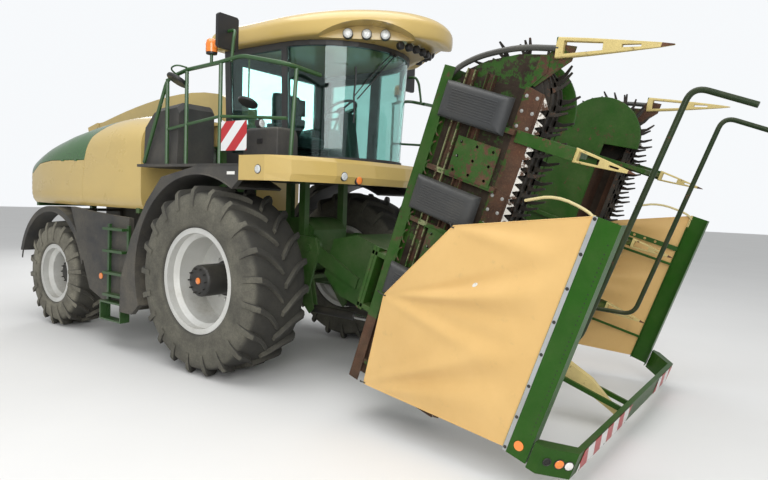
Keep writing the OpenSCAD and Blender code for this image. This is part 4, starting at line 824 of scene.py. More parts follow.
# ---------------------------------------------------------------- Seat
# Upholstered cushion and back rest in black cloth, swollen by a cloth simulation, on a bellows suspension
# with a steel carrier plate; sewn seams run across the back rest and the cushion.
seat_cloth, tree, shader = new_material("seat_cloth", (0.022, 0.023, 0.025), 0.9)
mottle = noise(tree, 14, 5)
weave = texture(tree, "Wave", Scale=260, Distortion=1.5)
set_inputs(tree, shader, {"Base Color": blend(tree, mottle, (0.014, 0.015, 0.017), (0.045, 0.045, 0.046)),
                          "Sheen Weight": 0.3,
                          "Roughness": span(tree, mottle, to_low=0.8, to_high=1.0),
                          "Normal": bumps(tree, weave, 0.5, 0.0006)})
swell_cap, swell_frames, seam_depth, seam_width = 14, 16, 0.14, 9


def pillow(name, low, high, thin, seams, replaces=None):
    """A pad that fills a box: rounded, swollen by cloth pressure up to a cap, then pulled in along its seams."""
    size, centre = [b - a for a, b in zip(low, high)], [(a + b) / 2 for a, b in zip(low, high)]
    wide = [i for i in range(3) if i != thin]
    form = bmesh.new()
    bmesh.ops.create_cube(form, size=1)
    bmesh.ops.subdivide_edges(form, edges=form.edges[:], cuts=5, use_grid_fill=True)
    for v in form.verts:
        p = v.co * 2
        pull = [1 - 0.05 * sum(abs(p[i]) ** 6 for i in wide)] * 3
        pull[thin] = 1 - 0.35 * max(abs(p[i]) ** 4 for i in wide)
        v.co = [p[i] / 2 * (size[i] - 2 * swell_cap) * pull[i] for i in range(3)]
        v.co = at(*(v.co + Vector(centre)))
    mesh = bpy.data.meshes.new(name)
    form.to_mesh(mesh)
    form.free()
    piece = new_object(name, mesh)
    remesh = piece.modifiers.new("even", "REMESH")
    remesh.mode, remesh.voxel_size = "VOXEL", 0.013
    piece.data = flattened(piece)
    piece.modifiers.clear()
    start = [v.co.copy() for v in piece.data.vertices]
    cloth = piece.modifiers.new("swell", "CLOTH")
    cloth.settings.use_pressure = True
    cloth.settings.uniform_pressure_force = 4
    cloth.settings.effector_weights.gravity = 0
    cloth.point_cache.frame_start, cloth.point_cache.frame_end = 1, swell_frames
    for frame_number in range(1, swell_frames + 1):
        bpy.context.scene.frame_set(frame_number)
    swollen = flattened(piece)
    piece.modifiers.clear()
    piece.data = swollen
    for v, first in zip(swollen.vertices, start):
        step = v.co - first
        if step.length > swell_cap / 1000:
            v.co = first + step.normalized() * (swell_cap / 1000)
    bpy.context.scene.frame_set(1)
    middle = at(*centre)
    for v in piece.data.vertices:
        for axis, place in seams:
            gap = (v.co[axis] - middle[axis]) * 1000 - place
            v.co[thin] += (middle[thin] - v.co[thin]) * seam_depth * math.exp(-(gap / seam_width) ** 2)
    piece.data.shade_smooth()
    finer = piece.modifiers.new("finer", "SUBSURF")
    finer.levels = finer.render_levels = 1
    finish(piece, seat_cloth, "chassis", replaces=replaces)


pillow("seat_cushion", (-275, -262, 2505), (255, 262, 2648), 2, [(1, -165), (1, 165), (0, 60)], "cab_interior")
pillow("seat_back", (-350, -255, 2660), (-215, 255, 3225), 0, [(1, -160), (1, 160), (2, -120), (2, 60)])
cabin_black = surface("cabin_black", (0.020, 0.020, 0.021), 0.55, dust=0.12, grain=420, depth=0.0003, clean_height=4.5)


def rounded(v):
    """Presses a circle's cosine or sine outwards, which makes a rounded square."""
    return math.copysign(abs(v) ** 0.35, v)


bellows_levels = [(2242 + 17.5 * i, 26 if i % 2 else 4) for i in range(15)]
bellows = loft("seat_bellows",
               [[(-50 + (190 - inset) * rounded(c), (230 - inset) * rounded(s), z) for c, s in round_steps(48)]
                                for z, inset in bellows_levels], 60)
finish(bellows, cabin_black, "chassis")
tray = loft("seat_tray", [[(x, y, z) for x, y in oblong(-262, 240, -235, 235)] for z in (2488, 2507)])
finish(tray, cabin_black, "chassis", 5)
spine = [(-280, 2500), (-215, 2500), (-262, 2680), (-345, 3000), (-362, 3000), (-345, 2680)]
finish(prism("seat_spine", spine, -120, 120), cabin_black, "chassis", 8)

# ---------------------------------------------------------------- Steering column and arm rest console
# Moulded black column with a display hood, a steering wheel with three flat spokes, and on the driver's right
# a console with a padded rest, a drive lever and a screen.
wheel_tilt = math.radians(-30)


def wheel_at(x, y, h):
    """A point of the steering wheel, in its own plane and h over it."""
    c, s = math.cos(wheel_tilt), math.sin(wheel_tilt)
    return 610 + x * c + h * s, y, 2940 - x * s + h * c


column = [(705, 2242), (890, 2242), (850, 2420), (770, 2860), (740, 2905), (655, 2905), (645, 2860), (700, 2500)]
finish(prism("steering_column", column, -85, 85), cabin_black, "chassis", 28, 4)
finish(drum("steering_stalk", (685, 0, 2815), (-0.5, 0, 0.866), 30, 120, 32), cabin_black, "chassis")
pipe("steering_wheel", [wheel_at(192 * c, 192 * s, 0) for c, s in round_steps(72)], 15, cabin_black, "chassis", 24,
     True)
for i, a in enumerate((0.0, 2.3, -2.3)):
    spoke = loft("steering_spoke_%d" % i,
                 [[wheel_at(r * math.cos(a + s * w / r), r * math.sin(a + s * w / r), h)
                   for s, h in oblong(-1, 1, -6, 5)]
                                           for r, w in ((30, 26), (60, 20), (120, 14), (186, 17))])
    finish(spoke, cabin_black, "chassis", 3)
boss = [[wheel_at(r * c, r * s, h) for c, s in round_steps(40)] for r, h in ((50, -14), (52, 0), (48, 12), (36, 17))]
finish(loft("steering_boss", boss), cabin_black, "chassis")
console = [(-150, 2242), (200, 2242), (235, 2500), (300, 2640), (372, 2700), (378, 2795), (200, 2790), (60, 2760),
           (-140, 2770), (-150, 2600)]
finish(prism("arm_rest_console", console, -458, -332), cabin_black, "chassis", 20, 4)
pipe("drive_lever", [(180, -395, 2780), (190, -395, 2850), (214, -395, 2905), (222, -395, 2930)], 14, cabin_black,
     "chassis", 16)
grip = [[(x + r * c, -395 + 0.8 * r * s, z) for c, s in round_steps(28)]
        for x, z, r in ((219, 2905, 14), (222, 2918, 27), (226, 2950, 30), (228, 2985, 27), (222, 3004, 14))]
finish(loft("lever_grip", grip, 60), cabin_black, "chassis")
case = [[(x, y, z) for y, z in oblong(-455, -345, 2830, 3010)] for x in (345, 378)]
finish(loft("terminal_case", case), cabin_black, "chassis", 8, 3)
pipe("terminal_arm", [(330, -400, 2740), (352, -400, 2790), (362, -400, 2850)], 12, cabin_black, "chassis", 16)
screen = loft("terminal_screen", [[(x, y, z) for y, z in oblong(-447, -353, 2840, 3000)] for x in (344.2, 345.5)])
finish(screen, surface("screen_glass", (0.05, 0.08, 0.09), 0.12, dust=0.05, change=0.3, grain=90, depth=0.0001),
       "chassis")

# ---------------------------------------------------------------- Spout
# Folded sheet duct in beige paint on a turning ring, with a bolted flange at its root and a hinged end flap.
spout_paint = surface("spout_paint", (0.55, 0.40, 0.14), 0.38, dust=0.45, grain=380, depth=0.0002, coat=0.3,
                      clean_height=5.0)
dress(spout_paint, "spout_turret", "spout_arch", "spout_flap")
bolts = surface("zinc_bolts", (0.42, 0.42, 0.40), 0.38, dust=0.3, metallic=0.8, grain=300)


def screws(name, places, direction, size, material, body, height=5):
    """A row of hexagon heads with washers, each at a point of a face that looks along a direction."""
    d, e, f = across(direction)
    points, faces = [], []
    for place in places:
        for count, levels in ((18, ((-1, 1.5), (1.2, 1.5))), (6, ((1, 1.0), (height - 1, 1.0), (height, 0.85)))):
            first = len(points)
            points += [at(*(Vector(place) + d * up + size * r * (e * c + f * s))) for up, r in levels
                       for c, s in round_steps(count)]
            faces += bands(count, len(levels), first) + [tuple(len(points) - count + k for k in range(count))]
    finish(new_piece(name, points, faces, 30), material, body)


ring_spots = [(-1300 + 296 * c, 296 * s, 2840) for c, s in round_steps(16)]
screws("turret_screws", ring_spots, (0, 0, 1), 9, bolts, "turret")

# ---------------------------------------------------------------- Feed house, rollers and lift cylinders
# Welded green housing with steel feed rollers; black cylinder barrels and plated rods.
dress(surface("header_green", (0.017, 0.072, 0.008), 0.38, dust=0.25, change=0.12, coat=0.2, clean_height=3.2),
      "feed_house")
roller_steel = surface("roller_steel", (0.30, 0.28, 0.25), 0.45, dust=0.5, metallic=0.7, grain=150, depth=0.001,
                       clean_height=4)
dress(roller_steel, "feed_roller_upper", "feed_roller_lower")
dress(hub_black, "lift_barrels")
plated = surface("plated_rod", (0.62, 0.62, 0.60), 0.16, dust=0.15, metallic=0.95, grain=500, depth=0.00005,
                 spread=0.05)
dress(plated, "lift_rods")

# ---------------------------------------------------------------- Folded header: carrier and wings
# Welded sheet and channels whose green paint has gone to rust where the crop rubs, knives worn bright at their
# tips. Paint, rust and a near-black floor zone are set by the place on the wing, so they go with the wing when that
# unfolds.
cos18, sin18 = math.cos(math.radians(18)), math.sin(math.radians(18))
wing_y, wing_foot, row_pitch = 1400, 950, 750


def head(u, y, w):
    """A point of the header's tilted frame, in millimetres from the front axle."""
    return u * cos18 + w * sin18, y, -u * sin18 + w * cos18


def wing(side, u, a, h):
    """A point of a folded wing: u forward, a outward along it, h over its underside."""
    return head(u, side * (wing_y - h), wing_foot + a)


# Where a point lies on a folded wing, in metres: U, A and H as above
place_effect, given, result = effect("header_place", {}, {"U": "Float", "A": "Float", "H": "Float"})
for key, direction, start in (("U", (cos18, 0, -sin18), 0.0), ("A", (sin18, 0, cos18), -wing_foot / 1000)):
    along = add_node(place_effect, "VectorMath", {0: place_of(place_effect), 1: direction},
                     operation="DOT_PRODUCT").outputs["Value"]
    set_inputs(place_effect, result, {key: calc(place_effect, "ADD", along, start - front_axle_x * direction[0])})
aside = calc(place_effect, "ABSOLUTE", add_node(place_effect, "SeparateXYZ", {0: place_of(place_effect)}).outputs["Y"])
set_inputs(place_effect, result, {"H": calc(place_effect, "SUBTRACT", wing_y / 1000, aside)})


def rust_and_paint(name, zones, dark=(0.035, 0.019, 0.013), light=(0.085, 0.036, 0.020), dust=0.22):
    """Brown rust with paint in zones: (colour, how much is worn off, roughness, {axis: (low, high)})."""
    material, tree, shader = new_material(name, light, 0.8)
    place = add_node(tree, "Group", node_tree=place_effect).outputs
    blotch, pits, chips = noise(tree, 4.5, 9, 0.68), noise(tree, 85, 5, 0.75), noise(tree, 11, 10, 0.8)
    colour = blend(tree, span(tree, blotch, 0.36, 0.66), dark, light)
    colour = blend(tree, span(tree, pits, 0.55, 0.8, 0.0, 0.7), colour, (0.26, 0.13, 0.06))
    rough = 0.86
    for paint, worn, shine, limits in zones:
        edge = 0.38 + worn * 0.25
        mask = span(tree, chips, edge - 0.02, edge + 0.02)
        for axis, ends in limits.items():
            for limit, operation in zip(ends, ("GREATER_THAN", "LESS_THAN")):
                if limit is not None:
                    mask = calc(tree, "MULTIPLY", mask, calc(tree, operation, place[axis], limit))
        tone = blend(tree, blotch, [0.75 * c for c in paint], [min(1, 1.3 * c) for c in paint])
        colour, rough = blend(tree, mask, colour, tone), blend_value(tree, mask, rough, shine)
    veil = add_node(tree, "Group", node_tree=dust_effect, Amount=dust, Patch_Scale=5.0,
                    Clean_Height=4.5).outputs["Mask"]
    set_inputs(tree, shader, {"Base Color": blend(tree, veil, colour, (0.24, 0.19, 0.125)), "Roughness": rough,
                              "Normal": bumps(tree, pits, 0.5, 0.0015), "Specular IOR Level": 0.22})
    return material


paint_green, paint_dark, pale_green = (0.013, 0.060, 0.004), (0.008, 0.024, 0.006), (0.19, 0.21, 0.10)
wing_finish = rust_and_paint("wing_rust_and_paint", [
    # near-black on the floor plate from U 1.885 to 2.47, where the beams, skids and cover stand over it
    ((0.016, 0.010, 0.007), -0.6, 0.9, {"U": (1.885, 2.47), "H": (0.058, 0.08)}),
    (paint_green, 0.08, 0.4, {"U": (None, 1.885), "A": (0.62, None)}),
    (pale_green, 0.30, 0.6, {"U": (1.965, 2.045), "H": (0.0, 0.0225)}),
    (paint_green, 0.35, 0.5, {"U": (2.06, 2.46), "H": (-0.01, 0.0085)}),
    (paint_green, 0.72, 0.6, {"U": (1.88, 2.5), "H": (0.0, 0.061)}),
    (paint_green, 0.1, 0.4, {"H": (0.425, None)}),
    (paint_green, 0.45, 0.45, {"H": (0.0715, 0.0785), "A": (2.66, None)}),
    ((0.62, 0.60, 0.55), 0.42, 0.35, {"U": (2.612, None), "H": (0.055, 0.075)}),
])


def blocks(name, side, boxes, material, body, bevel=3):
    """Boxes between two corners each, in one mesh on a wing."""
    points, faces = [], []
    for (x0, y0, z0), (x1, y1, z1) in boxes:
        n = len(points)
        points += [at(*wing(side, x, y, z)) for z in (z0, z1) for x, y in oblong(x0, x1, y0, y1)]
        faces += [(n, n + 3, n + 2, n + 1), (n + 4, n + 5, n + 6, n + 7)] + bands(4, 2, n)
    finish(new_piece(name, points, faces, 30), material, body, bevel)


def plate_of(name, side, outline, h0, h1, material, body, bevel=2, replaces=None):
    """A flat plate on a wing, with an outline in u and a."""
    piece = loft(name, [[wing(side, u, a, h) for u, a in outline] for h in (h0, h1)])
    return finish(piece, material, body, bevel, replaces=replaces)


knife_pitch, sprocket_u, sprocket_feet, loop_r = 60, 2340, (500, 2640), 280
for side, hand in sides:
    body = "wing_" + hand
    teeth = [(1776, 90), (2600, 90)]
    for a in (knife_pitch * i for i in range(43)):
        teeth += [(2606, 90 + a), (2665, 117 + a), (2660, 126 + a)]
    teeth += [(2600, 2730), (1960, 2730), (1776, 2580)]
    plate_of("wing_floor_" + hand, side, teeth, 60, 72, wing_finish, body, 1.5, "wing_" + hand)
    beams = []
    for u in (1970, 2140):
        beams += [((u, 120, 8), (u + 8, 2770, 61)), ((u + 62, 120, 8), (u + 70, 2770, 61)),
                  ((u + 7, 120, 50), (u + 63, 2770, 61))]
    beams += [((1771, 200 + 440 * i, 8), (2500, 240 + 440 * i, 60.5)) for i in range(6)]
    blocks("wing_beams_" + hand, side, beams, wing_finish, body)
    back = [((1770, 30, 0), (1778, 2750, 450)), ((1770, 30, 0), (1870, 2750, 8)), ((1770, 30, 442), (1890, 2750, 450)),
            ((1630, 640, 0), (1771, 680, 200)), ((1630, 1120, 0), (1771, 1160, 200)),
            ((2280, 800, 71), (2400, 2340, 431))]
    blocks("wing_back_" + hand, side, back, wing_finish, body, 4)
    ears = [(620, 0), (1200, 0), (1100, 390), (785, 730)] + [(700 + 90 * c, 700 + 90 * s)
                                                             for c, s in round_steps(11, 20, 16)] + [(620, 660)]
    for u in (1630, 1662):
        ear = loft("fold_ear_%s_%d" % (hand, u), [[wing(side, u + d, a, h) for a, h in ears] for d in (0, 30)])
        finish(ear, wing_finish, body, 4)
    for i, a in enumerate((0, row_pitch)):
        holed = loft("hole_plate_%s_%d" % (hand, i),
                     [[wing(side, u, b + a, h) for u, b in oblong(2080, 2450, 1230, 1530)] for h in (0, 8)])
        carve(holed, *[drum("bore", wing(side, u, b + a, -6), (0, -side, 0), 12, 24, 20) for u in (2120, 2260, 2400)
                       for b in (1270, 1380, 1490)])
        finish(holed, wing_finish, body)
        for j in range(3):
            hook = [wing(side, 1930 + 62 * c, 1230 + 740 * i + 155 * j + 62 * s, 2)
                    for c, s in round_steps(21, 118, 6.5)]
            pipe("crop_hook_%s_%d_%d" % (hand, i, j), hook, 7, wing_finish, body)
    end_sheet = [(1900, 2670), (1935, 2760), (2080, 2860), (2310, 2955), (2540, 3000), (2560, 2880), (2420, 2670)]
    plate_of("end_sheet_" + hand, side, end_sheet, 72, 78, wing_finish, body)
    cover = [(1870, 60), (2400, 60), (2400, 2540)] + [(2320 + 420 * c, 2580 + 420 * s)
                                                      for c, s in round_steps(18, 0, 9)] + [(1870, 2640)]
    plate_of("wing_cover_" + hand, side, cover, 430, 450, wing_finish, body, 6)
    for a in sprocket_feet:
        finish(drum("sprocket_shaft_%s_%d" % (hand, a), wing(side, sprocket_u, a, 71), (0, -side, 0), 60, 360, 40),
               wing_finish, body)
    spots = [wing(side, u, a + row_pitch * i, 7.9) for i in range(2) for u in (2100, 2430) for a in (1250, 1380, 1500)]
    screws("plate_screws_" + hand, spots, (0, side, 0), 10, bolts, body)
    spots = [wing(side, 1769, a, h) for a in range(160, 2700, 240) for h in (40, 400)]
    screws("wall_screws_" + hand, spots, (-cos18, 0, sin18), 9, bolts, body)
    # bolted wear plates on the floor near the knives, rust brown, with their heads
    for i, a in enumerate(930 + row_pitch * k for k in range(3)):
        plate_of("wear_plate_%s_%d" % (hand, i), side, [(2452, a), (2592, a), (2592, a + 300), (2452, a + 330)], 54,
                 59.5, wing_finish, body)
        spots = [wing(side, u, a + da, 54) for u in (2480, 2565) for da in (40, 150, 260)]
        screws("wear_screws_%s_%d" % (hand, i), spots, (0, side, 0), 9, bolts, body)
beige_ends = ((0.60, 0.48, 0.20), 0.0, 0.45, {"U": (3.098, None)})
dress(rust_and_paint("carrier_paint", [(paint_green, 0.05, 0.4, {"U": (None, 3.11)}), beige_ends]), "header_carrier")

# ---------------------------------------------------------------- Collector chains
# Three levels of swept-back teeth on a band round two sprockets, black paint rubbed to brown at the teeth.
chain_finish = rust_and_paint("chain_black_and_rust", [((0.014, 0.013, 0.012), 0.12, 0.45, {"H": (0.0, None)})],
                              light=(0.10, 0.045, 0.028))
straight, turn_way = sprocket_feet[1] - sprocket_feet[0], math.pi * loop_r
loop_way = 2 * (straight + turn_way)
band_points, tooth_count = 180, 40
tooth_shape = [(-10, -26), (20, -26), (102, -4), (167, 34), (162, 46), (85, 16), (20, 22), (-10, 26)]


def on_the_loop(way, out, step=0.0):
    """A point beside the chain's loop: the way along it, the distance outwards and a step along it."""
    way %= loop_way
    if way < straight:
        return sprocket_u + loop_r + out, sprocket_feet[0] + way + step
    if straight + turn_way <= way < 2 * straight + turn_way:
        return sprocket_u - loop_r - out, sprocket_feet[1] + straight + turn_way - way - step
    back = way >= straight + turn_way
    t = math.pi + (way - 2 * straight - turn_way) / loop_r if back else (way - straight) / loop_r
    c, s = math.cos(t), math.sin(t)
    return sprocket_u + (loop_r + out) * c - step * s, sprocket_feet[0 if back else 1] + (loop_r + out) * s + step * c


for side, hand in sides:
    points, faces = [], []
    for inner, outer, low, high in ((-20, 20, 100, 340), (10, 34, 120, 134), (10, 34, 215, 229), (10, 34, 310, 324)):
        faces += bands(4, band_points, len(points), wrap=True)
        points += [at(*wing(side, *on_the_loop(loop_way * k / band_points, out), h)) for k in range(band_points)
                   for out, h in oblong(inner, outer, low, high)]
    for row in range(3):
        for i in range(tooth_count):
            n = len(points)
            points += [at(*wing(side, *on_the_loop((i + row / 3) * loop_way / tooth_count, out, step), h + 95 * row))
                       for h in (120, 134) for out, step in tooth_shape]
            faces += [tuple(n + k for k in range(8)), tuple(n + 8 + k for k in reversed(range(8)))] + bands(8, 2, n)
    chain = new_piece("collector_chain_" + hand, points, faces, 30)
    finish(chain, chain_finish, "wing_" + hand, 1.5, 1, replaces="collector_" + hand)
    for a in sprocket_feet:
        sprocket = drum("sprocket_%s_%d" % (hand, a), wing(side, sprocket_u, a, 90), (0, -side, 0), 262, 40)
        finish(sprocket, chain_finish, "wing_" + hand, 3)

# ---------------------------------------------------------------- Row dividers, guide bars and skids
# Green perforated rails with cast beige snouts whose points are rubbed to brown, a painted tube as plant guide
# and ribbed grey plastic skids bolted under the wing.
cast_beige = (0.50, 0.40, 0.16)
divider_paint = rust_and_paint("divider_paint_right", [
    (paint_green, 0.15, 0.4, {"U": (None, 2.962)}),
    (cast_beige, 0.05, 0.5, {"U": (2.955, 3.33), "H": (0.055, 0.13)}),
    (cast_beige, 0.05, 0.5, {"U": (2.565, 3.235), "A": (2.92, None), "H": (0.02, 0.115)}),
    (paint_dark, 0.0, 0.35, {"H": (0.452, 0.63), "U": (2.96, None)}),
], light=(0.12, 0.045, 0.025))
bar_paint = rust_and_paint("guide_bar_paint", [(paint_dark, 0.0, 0.35, {})])
dark_pipe = surface("dark_pipe", (0.030, 0.032, 0.028), 0.45, dust=0.3, change=0.2, grain=80, depth=0.0008,
                    clean_height=4.5)
skid_plastic = surface("skid_plastic", (0.024, 0.026, 0.028), 0.5, dust=0.12, change=0.15, grain=60, depth=0.0006,
                       clean_height=4.5)


def snout(name, side, u0, a0, h0, length, half, high, turn, body):
    """A tapered cast bar with two long openings, pointed at its end."""
    c, s = math.cos(turn), math.sin(turn)

    def spot(share, y, up):
        return wing(side, u0 + share * length * c - y * s, a0 + share * length * s + y * c, h0 + up)

    section = ((-1, 0.1), (-0.9, 0), (0.9, 0), (1, 0.1), (1, 0.85), (0.8, 1), (-0.8, 1), (-1, 0.85))
    stations = ((0, 1, 0, 1), (0.3, 0.78, 0.03, 0.82), (0.6, 0.5, 0.06, 0.64), (0.88, 0.22, 0.09, 0.47),
                (1, 0.05, 0.12, 0.36))
    piece = loft(name, [[spot(t, q * half * w, (low + (top - low) * r) * high) for q, r in section]
                        for t, w, low, top in stations], 40)
    holes = []
    for s0, s1, w0, w1 in ((0.07, 0.42, 0.62, 0.36), (0.58, 0.74, 0.14, 0.12)):
        ends = [(s0, -w0 * half), (s1, -w1 * half), (s1, w1 * half), (s0, w0 * half)]
        holes.append(loft("slot", [[spot(t, q, up) for t, q in ends] for up in (-5, high + 5)]))
    finish(carve(piece, *holes), divider_paint, body, 3)


def bent(corners, reach):
    """A path with its inner corners rounded, from a reach before each corner to the same after it."""
    way = [corners[0]]
    for before, p, after in zip(corners, corners[1:], corners[2:]):
        p = Vector(p)
        first, last = (p + (Vector(end) - p).normalized() * reach for end in (before, after))
        way += [tuple((1 - t) ** 2 * first + 2 * t * (1 - t) * p + t * t * last) for t in (j / 8 for j in range(9))]
    return way + [corners[-1]]


def slot_ring(side, u, a, r):
    """A slotted hole's outline across a divider rail: two half circles drawn 44 mm apart."""
    return [wing(side, u + (22 if c > 0 else -22) + r * c, a, 475 + r * s) for c, s in round_steps(16, 11.25)]


rail_outline = [(1880, 450.3), (2830, 450.3), (2850, 45), (2950, 45), (2950, 150), (2900, 500), (1880, 500)]
guide_way = bent([(2885, 905, 476), (3330, 1050, 560), (3380, 3070, 600), (3810, 3050, 600)], 110)
end_way = smooth_profile([(1800, 2600, 29.5), (1850, 2745, 50), (1970, 2850, 62), (2110, 2925, 66), (2320, 3005, 66),
                          (2590, 3050, 66)])
sole_levels = ((0.2, 0, 0), (-20, 5, 3), (-38, 14, 9), (-50, 26, 17), (-58, 42, 28), (-63, 62, 44), (-64, 78, 60))
for side, hand in sides:
    body = "wing_" + hand
    for i, a in enumerate(900 + row_pitch * k for k in range(3)):
        rail = loft("divider_rail_%s_%d" % (hand, i), [[wing(side, u, a + d, h) for u, h in rail_outline]
                                                       for d in (-20, 20)])
        carve(rail, *[loft("bore", [slot_ring(side, 1940 + 110 * k, a + d, 12) for d in (-30, 30)]) for k in range(9)])
        finish(rail, divider_paint, body, 3, replaces="dividers_" + hand if i == 0 else None)
        snout("divider_snout_%s_%d" % (hand, i), side, 2951, a, 60, 430, 52, 56, 0, body)
    brackets = [((2505, 855 + row_pitch * i, 40), (2960, 945 + row_pitch * i, 59.7)) for i in range(3)]
    blocks("snout_brackets_" + hand, side, brackets, divider_paint, body)
    pipe("plant_guide_" + hand, [wing(side, *p) for p in guide_way], 22, bar_paint, body, 24)
    pipe("end_pipe_" + hand, [wing(side, *p) for p in end_way], 22, dark_pipe, body, 24)
    bracket = [(2430, 2800), (2500, 2760), (2700, 2990), (2700, 3090), (2560, 3080)]
    plate_of("end_bracket_" + hand, side, bracket, 78.3, 89, wing_finish, body)
    snout("end_snout_" + hand, side, 2570, 3050, 45, 760, 72, 66, math.radians(13), body)
    for i, foot in enumerate(870 + row_pitch * k for k in range(3)):
        rings = []
        for drop, end, inwards in sole_levels:
            u0, u1, a0, a1 = 1850 + end, 2430 - end, foot + inwards, foot + 280 - inwards
            ring = [(u0 + (u1 - u0) * k / 40, a0) for k in range(40)] + [(u1, a0 + (a1 - a0) * k / 14)
                                                                         for k in range(14)]
            ring += [(u1 - (u1 - u0) * k / 40, a1) for k in range(40)] + [(u0, a1 - (a1 - a0) * k / 14)
                                                                          for k in range(14)]
            # shallow ribs along the sole
            rings.append([wing(side, u, a, drop + (1.4 if drop < -30 and int((a - foot) / 20) % 2 else 0))
                          for u, a in ring])
        skid = loft("skid_%s_%d" % (hand, i), rings, 30)
        finish(skid, skid_plastic, body, replaces="skids_" + hand if i == 0 else None)
        points, faces = [], []
        for a in (foot + 62 + 19.5 * k for k in range(9)):
            n = len(points)
            points += [at(*wing(side, u, b, h)) for u0, u1, half, h in ((1935, 2345, 4, -64), (1945, 2335, 2, -66.5))
                       for u, b in oblong(u0, u1, a - half, a + half)]
            faces += bands(4, 2, n) + [(n + 4, n + 5, n + 6, n + 7), (n + 3, n + 2, n + 1, n)]
        finish(new_piece("skid_ribs_%s_%d" % (hand, i), points, faces, 30), skid_plastic, body)

# ---------------------------------------------------------------- Road guard: bar, channels and boards
# Folded green sheet bar with slanted red and white boards, a lamp at each corner, and an upright channel each
# side with a screwed aluminium strip, small holes down its face drawn as black discs of painted shade, and a round
# orange reflector.
guard_y, channel_y = 1700, 1406
bar_finish = rust_and_paint("guard_paint", [((0.014, 0.066, 0.003), -0.9, 0.38, {})], dust=0.08)
dress(bar_finish, "guard_bar")
dress(rust_and_paint("channel_paint", [
    ((0.012, 0.072, 0.002), -0.9, 0.34, {}),
    ((0.62, 0.50, 0.22), -0.9, 0.5, {"U": (None, 3.345), "A": (1.97, None)})], dust=0.08), "guard_side_right",
      "guard_side_left")
loop_cream = surface("loop_cream", (0.62, 0.52, 0.25), 0.45, dust=0.3, clean_height=4.5)
board_stripes = striped("board_stripes", (0.42, 0.008, 0.012), (0.74, 0.73, 0.71), "Y", 0.31, 0.9)
for name, y0, y1 in (("board_right", -1410, -150), ("board_left", 870, 1480)):
    board = loft(name, [[head(u, y, w) for y, w in oblong(y0 + 6, y1 - 6, 1340, 1520)] for u in (3773.5, 3776)])
    finish(board, board_stripes, "feeder", 1)
    spots = [head(3776, y, w) for y in (y0 + 40, (y0 + y1) / 2, y1 - 40) for w in (1352, 1508)]
    screws(name + "_screws", spots, (cos18, 0, -sin18), 6, bolts, "feeder", 3)
clear_lens = surface("clear_lens", (0.75, 0.73, 0.70), 0.2, dust=0.2, coat=0.8)
# Flat black for discs that stand in for holes: painted shade where the inside of a hole would be.
painted_hole_shade = surface("painted_hole_shade", (0.010, 0.010, 0.010), 0.8, dust=0.1)
aluminium = surface("aluminium_strip", (0.42, 0.44, 0.45), 0.42, dust=0.35, metallic=0.6, grain=240, clean_height=4.5)
strut_u, strut_length, strut_out = 2480, 854, 257
cloth_loop_way = smooth_profile([(3344, 1676, 3010), (3290, 1640, 3056), (3010, 1550, 3070), (2800, 1500, 2960)])
for side, hand in sides:
    body = "wing_" + hand
    # corner lamp: an orange half beside a clear one, in a black ring, and a flat black disc of painted shade for a hole
    look, e, f = across((0.7071 * cos18, side * 0.7071, -0.7071 * sin18))

    def on_corner(share, lift):
        return Vector(head(3590 + 180 * share, side * (guard_y - 180 * share), 1430)) + look * lift

    dome("corner_lamp_" + hand, on_corner(0.56, 3), look, 33, 9, reflector_orange, "feeder")
    dome("side_light_" + hand, on_corner(0.84, 3), look, 31, 9, clear_lens, "feeder")
    dome("corner_hole_" + hand, on_corner(0.2, 0.6), look, 26, 0.5, painted_hole_shade, "feeder")
    for k, (share, r) in enumerate(((0.56, 34), (0.84, 32), (0.2, 27))):
        ring = [on_corner(share, 2) + r * (e * c + f * s) for c, s in round_steps(36)]
        pipe("corner_ring_%s_%d" % (hand, k), ring, 4, hub_black, "feeder", 12, True)
    # channel: strip, screws, reflector, and black discs of painted shade for the row of small holes
    strip = [[head(u, side * (guard_y + d), w) for u, w in oblong(3332, 3362, 1352, 3048)] for d in (-0.5, 4)]
    finish(loft("tarp_strip_" + hand, strip), aluminium, body, 1.5)
    screws("strip_screws_" + hand, [head(3347, side * (guard_y + 4), 1380 + 236 * i) for i in range(8)], (0, side, 0),
           8, hub_black, body)
    cat_eye = drum("channel_reflector_" + hand, head(3430, side * (guard_y - 1), 1440), (0, side, 0), 34, 9, 40)
    finish(cat_eye, reflector_orange, body, 3)
    points, faces = [], []
    for i in (i for i in range(46) if i % 9 != 8):
        n = len(points)
        points += [at(*head(3478 + 4.5 * c, side * y, 1560 + 30 * i + 4.5 * s)) for y in (guard_y + 0.3, guard_y - 1)
                   for c, s in round_steps(12)]
        faces += [tuple(n + k for k in range(12)), tuple(n + 12 + k for k in reversed(range(12)))] + bands(12, 2, n)
    finish(new_piece("channel_dots_" + hand, points, faces, 30), painted_hole_shade, body)
    # perforated upper strut, and the bent tube over the cloth's upper edge
    corners = [(0, 1, -3), (1, 1, -3), (1, -1, 3), (0, -1, 3)]
    strut = loft("upper_strut_" + hand,
                 [[head(strut_u + strut_length * t + du, side * (channel_y + strut_out * t + dy), w)
                   for t, du, dy in corners]
                                         for w in (2640, 2690)])
    bores = [head(strut_u + strut_length * k / 8, side * (channel_y + strut_out * k / 8 - 30), 2665)
             for k in range(1, 8)]
    carve(strut, *[drum("bore", bore, (-0.28 * cos18, side * 0.96, 0.28 * sin18), 14, 60, 20) for bore in bores])
    finish(strut, bar_finish, body)
    pipe("cloth_loop_" + hand, [head(u, side * y, w) for u, y, w in cloth_loop_way], 11, loop_cream, body, 16)

